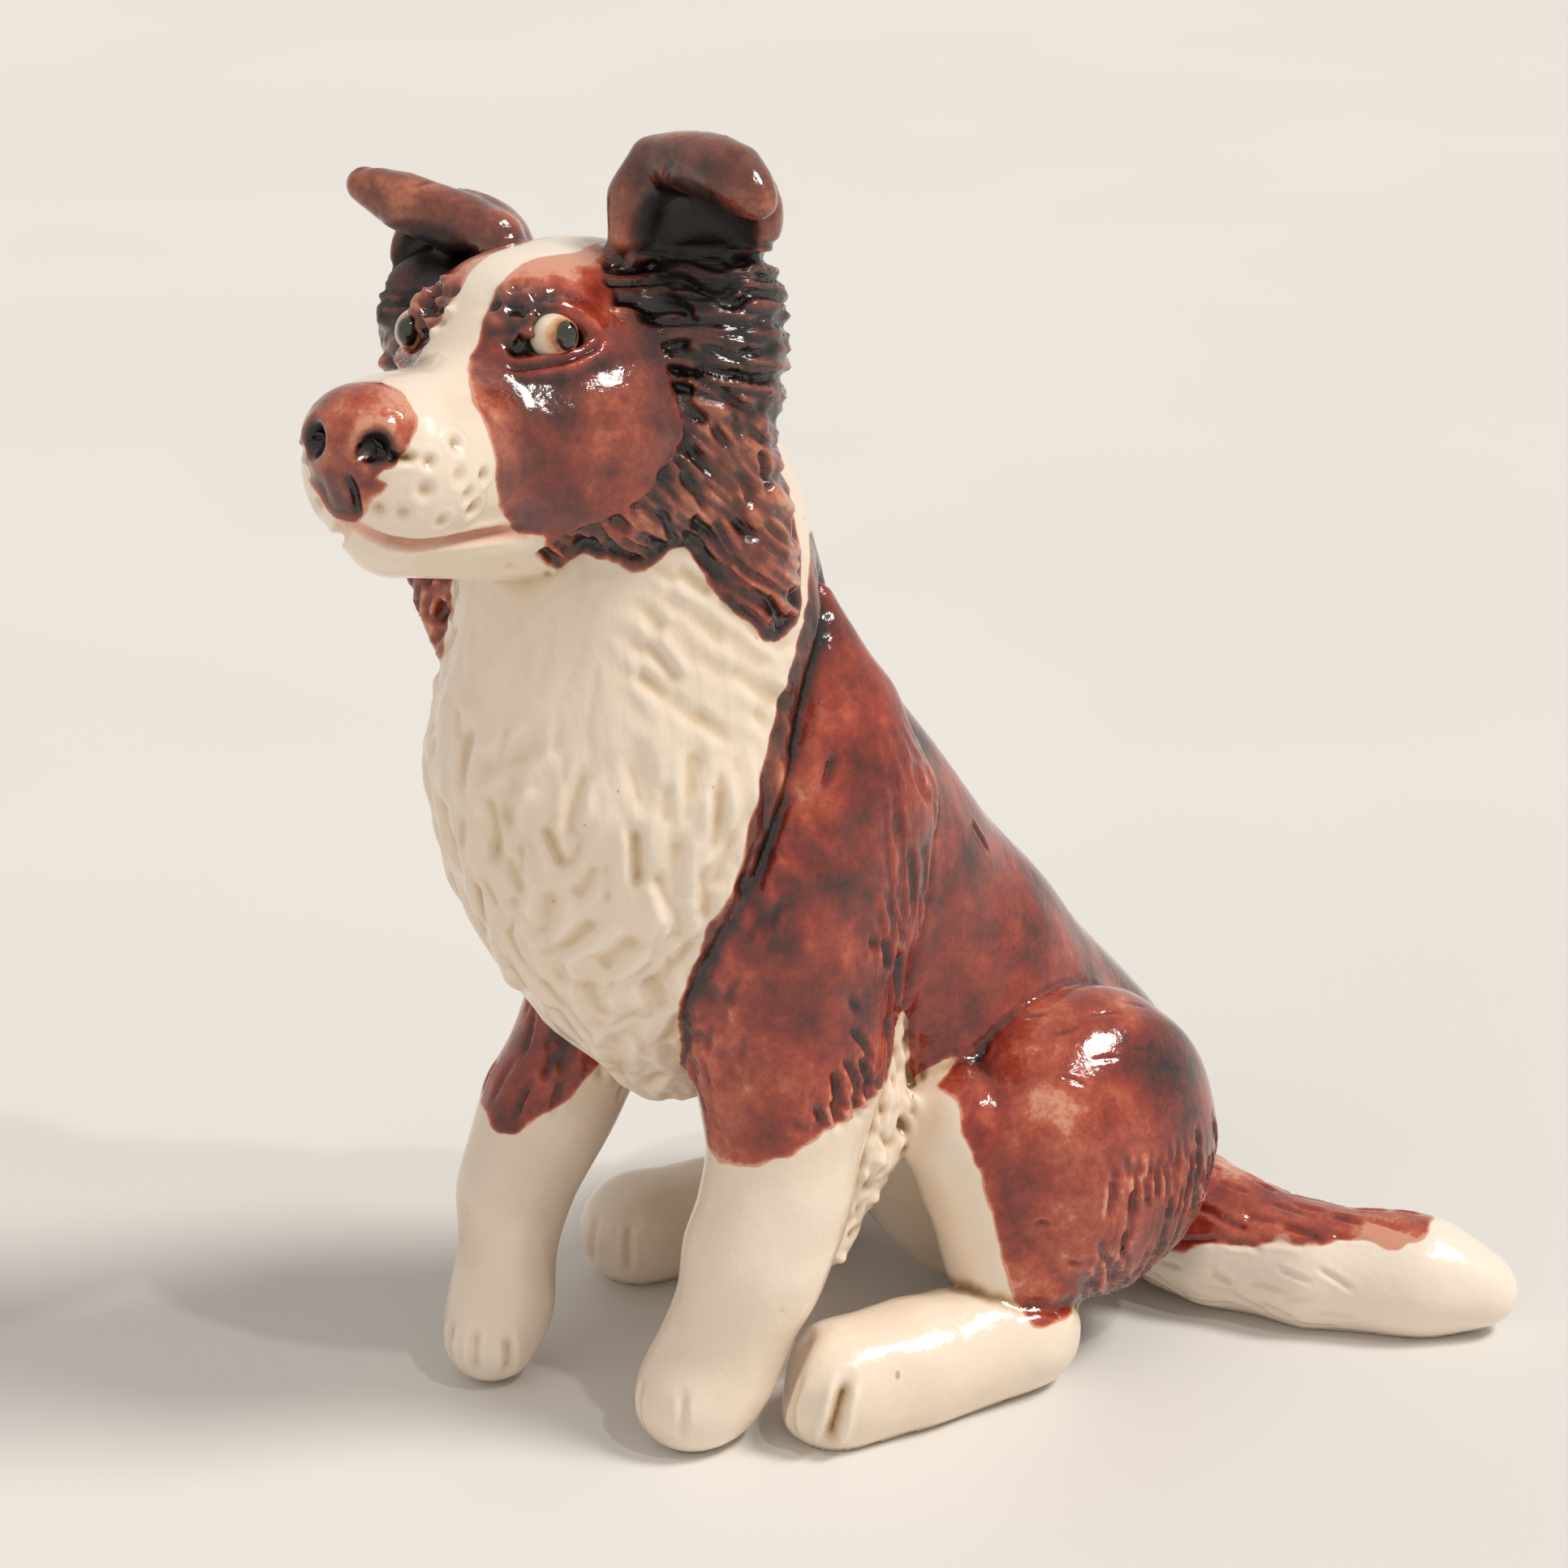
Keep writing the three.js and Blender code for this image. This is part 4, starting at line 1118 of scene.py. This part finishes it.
def pupil_material():
    material, graph, shader = new_material("black_green_bead_glaze")
    place = graph.place()
    cloud = graph.noise(place, 1100, 3)
    colour = graph.ramp(cloud, [(0.3, srgb(10, 12, 9)), (0.62, srgb(30, 36, 24)), (0.8, srgb(72, 66, 40))])
    graph.put(colour, shader["Base Color"])
    graph.put(graph.plus(0.03, graph.times(cloud, 0.06)), shader["Roughness"])
    graph.put(graph.bump(graph.noise(place, 800, 1), 0.2, 0.1 * MM), shader["Normal"])
    shader["Coat Weight"].default_value = 1.0
    shader["Coat Roughness"].default_value = 0.02
    return material


def clay_ball(name, centre, radii, uneven):
    """A ball rolled between the fingers: a sphere with soft dents, its place in its mesh."""
    deselect()
    bpy.ops.mesh.primitive_ico_sphere_add(subdivisions=5, radius=1, location=(0, 0, 0))
    obj = bpy.context.object
    obj.name = name
    unit = read(obj.data.vertices, "co", 3)
    reach = 1 - uneven * np.abs(lattice_noise(unit * 1.6 + centre, 1, 5))
    placed = unit * reach[:, None] * radii + centre
    obj.data.vertices.foreach_set("co", ((placed + FRAME_SHIFT) * MM).ravel())
    obj.data.update()
    bpy.ops.object.shade_smooth()
    return obj


bead_glaze = pupil_material()
for side in SIDES:
    centre = from_head(EYE_CENTRES[side] - EYE_SINK * mirrored(EYE_FACING, side))
    glance = HEAD_TURN @ (GLANCES[side] / np.linalg.norm(GLANCES[side]))
    bead = centre + glance * (EYE_RADIUS - PUPIL_SINK * PUPIL_RADIUS)
    eyeball = clay_ball(side + "_eyeball_glazed", centre, np.full(3, EYE_RADIUS), 0.04)
    eyeball.data.materials.append(eye_material(side + "_eye_glaze", bead))
    pupil = clay_ball(side + "_pupil_glazed", bead, PUPIL_RADIUS * np.array([1, 1, PUPIL_HEIGHT]), 0.03)
    pupil.data.materials.append(bead_glaze)
    for obj, node in ((eyeball, side + "_eyeball"), (pupil, side + "_pupil")):
        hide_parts(node)
        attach(obj, "root")

# Camera at the photograph's angle: 55 degrees round to the dog's left and 20 degrees up
CAMERA_TARGET = np.array([7, 22.5, 70]) + FRAME_SHIFT
CAMERA_AZIMUTH = math.radians(55)
CAMERA_HEIGHT = math.radians(20)
CAMERA_DISTANCE = 450
IMAGE_WIDTH = 1932
FOCAL_PIXELS = 5265
SENSOR_WIDTH = 36
away = Vector((
    math.sin(CAMERA_AZIMUTH) * math.cos(CAMERA_HEIGHT),
    -math.cos(CAMERA_AZIMUTH) * math.cos(CAMERA_HEIGHT),
    math.sin(CAMERA_HEIGHT),
))
camera_data = bpy.data.cameras.new("camera")
camera = bpy.data.objects.new("camera", camera_data)
bpy.context.collection.objects.link(camera)
camera_data.sensor_width = SENSOR_WIDTH
camera_data.lens = FOCAL_PIXELS / IMAGE_WIDTH * SENSOR_WIDTH
camera_data.clip_start = 0.01
camera_data.clip_end = 30
camera.location = (Vector(CAMERA_TARGET) + away * CAMERA_DISTANCE) * MM
camera.rotation_euler = away.to_track_quat("Z", "Y").to_euler()
bpy.context.scene.camera = camera
to_right = Vector((math.cos(CAMERA_AZIMUTH), math.sin(CAMERA_AZIMUTH), 0))
level_away = Vector((away.x, away.y, 0)).normalized()


def far_lamp(name, right, forward, up, breadth, strength, colour):
    """A far lamp, even over the whole floor: where it stands as seen from the camera, and how wide it looks."""
    data = bpy.data.lights.new(name, "SUN")
    data.angle = math.radians(breadth)
    data.energy = strength
    data.color = colour
    lamp = bpy.data.objects.new(name, data)
    bpy.context.collection.objects.link(lamp)
    aim = to_right * right + level_away * forward + Vector((0, 0, up))
    lamp.location = aim.normalized()
    lamp.rotation_euler = aim.to_track_quat("Z", "Y").to_euler()
    return lamp


WARM = (1, 0.97, 0.93)
far_lamp("key_lamp", 0.85, 0.15, 1.2, 16, 2.05, WARM)
far_lamp("sparkle_lamp", 0.6, 0.55, 1.2, 2, 0.4, (1, 0.98, 0.95))
far_lamp("fill_lamp", -1.0, 1.0, 0.8, 50, 0.3, WARM).visible_glossy = False

# The room: soft light all round, and a pale backdrop for the camera and for the reflections
bpy.context.scene.view_settings.view_transform = "Standard"
world = bpy.data.worlds.new("pale_room")
bpy.context.scene.world = world
world.use_nodes = True
w = Graph(world.node_tree)
w.tree.nodes.clear()


def background(colour, strength):
    n = w.node("ShaderNodeBackground")
    n.inputs["Color"].default_value = colour
    n.inputs["Strength"].default_value = strength
    return n.outputs[0]


rays = w.node("ShaderNodeLightPath").outputs
seen_or_mirrored = w.math("MAXIMUM", rays["Is Camera Ray"], rays["Is Glossy Ray"])
chosen = w.node("ShaderNodeMixShader")
w.put(w.math("MAXIMUM", seen_or_mirrored, rays["Is Transmission Ray"]), chosen.inputs["Fac"])
w.put(background((*WARM, 1), 0.4), chosen.inputs[1])
w.put(background(srgb(220, 215, 208), 1), chosen.inputs[2])
w.put(chosen.outputs[0], w.node("ShaderNodeOutputWorld").inputs["Surface"])

FLOOR_RADIUS = 6
deselect()
bpy.ops.mesh.primitive_circle_add(vertices=96, radius=FLOOR_RADIUS, fill_type="NGON", location=(0, 0, 0))
floor = bpy.context.object
floor.name = "pale_floor"
floor_material, g, shader = new_material("pale_table")
pale = g.ramp(g.noise(g.place(), 6, 2), [(0.3, srgb(226, 223, 218)), (0.7, srgb(230, 227, 222))])
g.put(pale, shader["Base Color"])
shader["Roughness"].default_value = 0.55
floor.data.materials.append(floor_material)
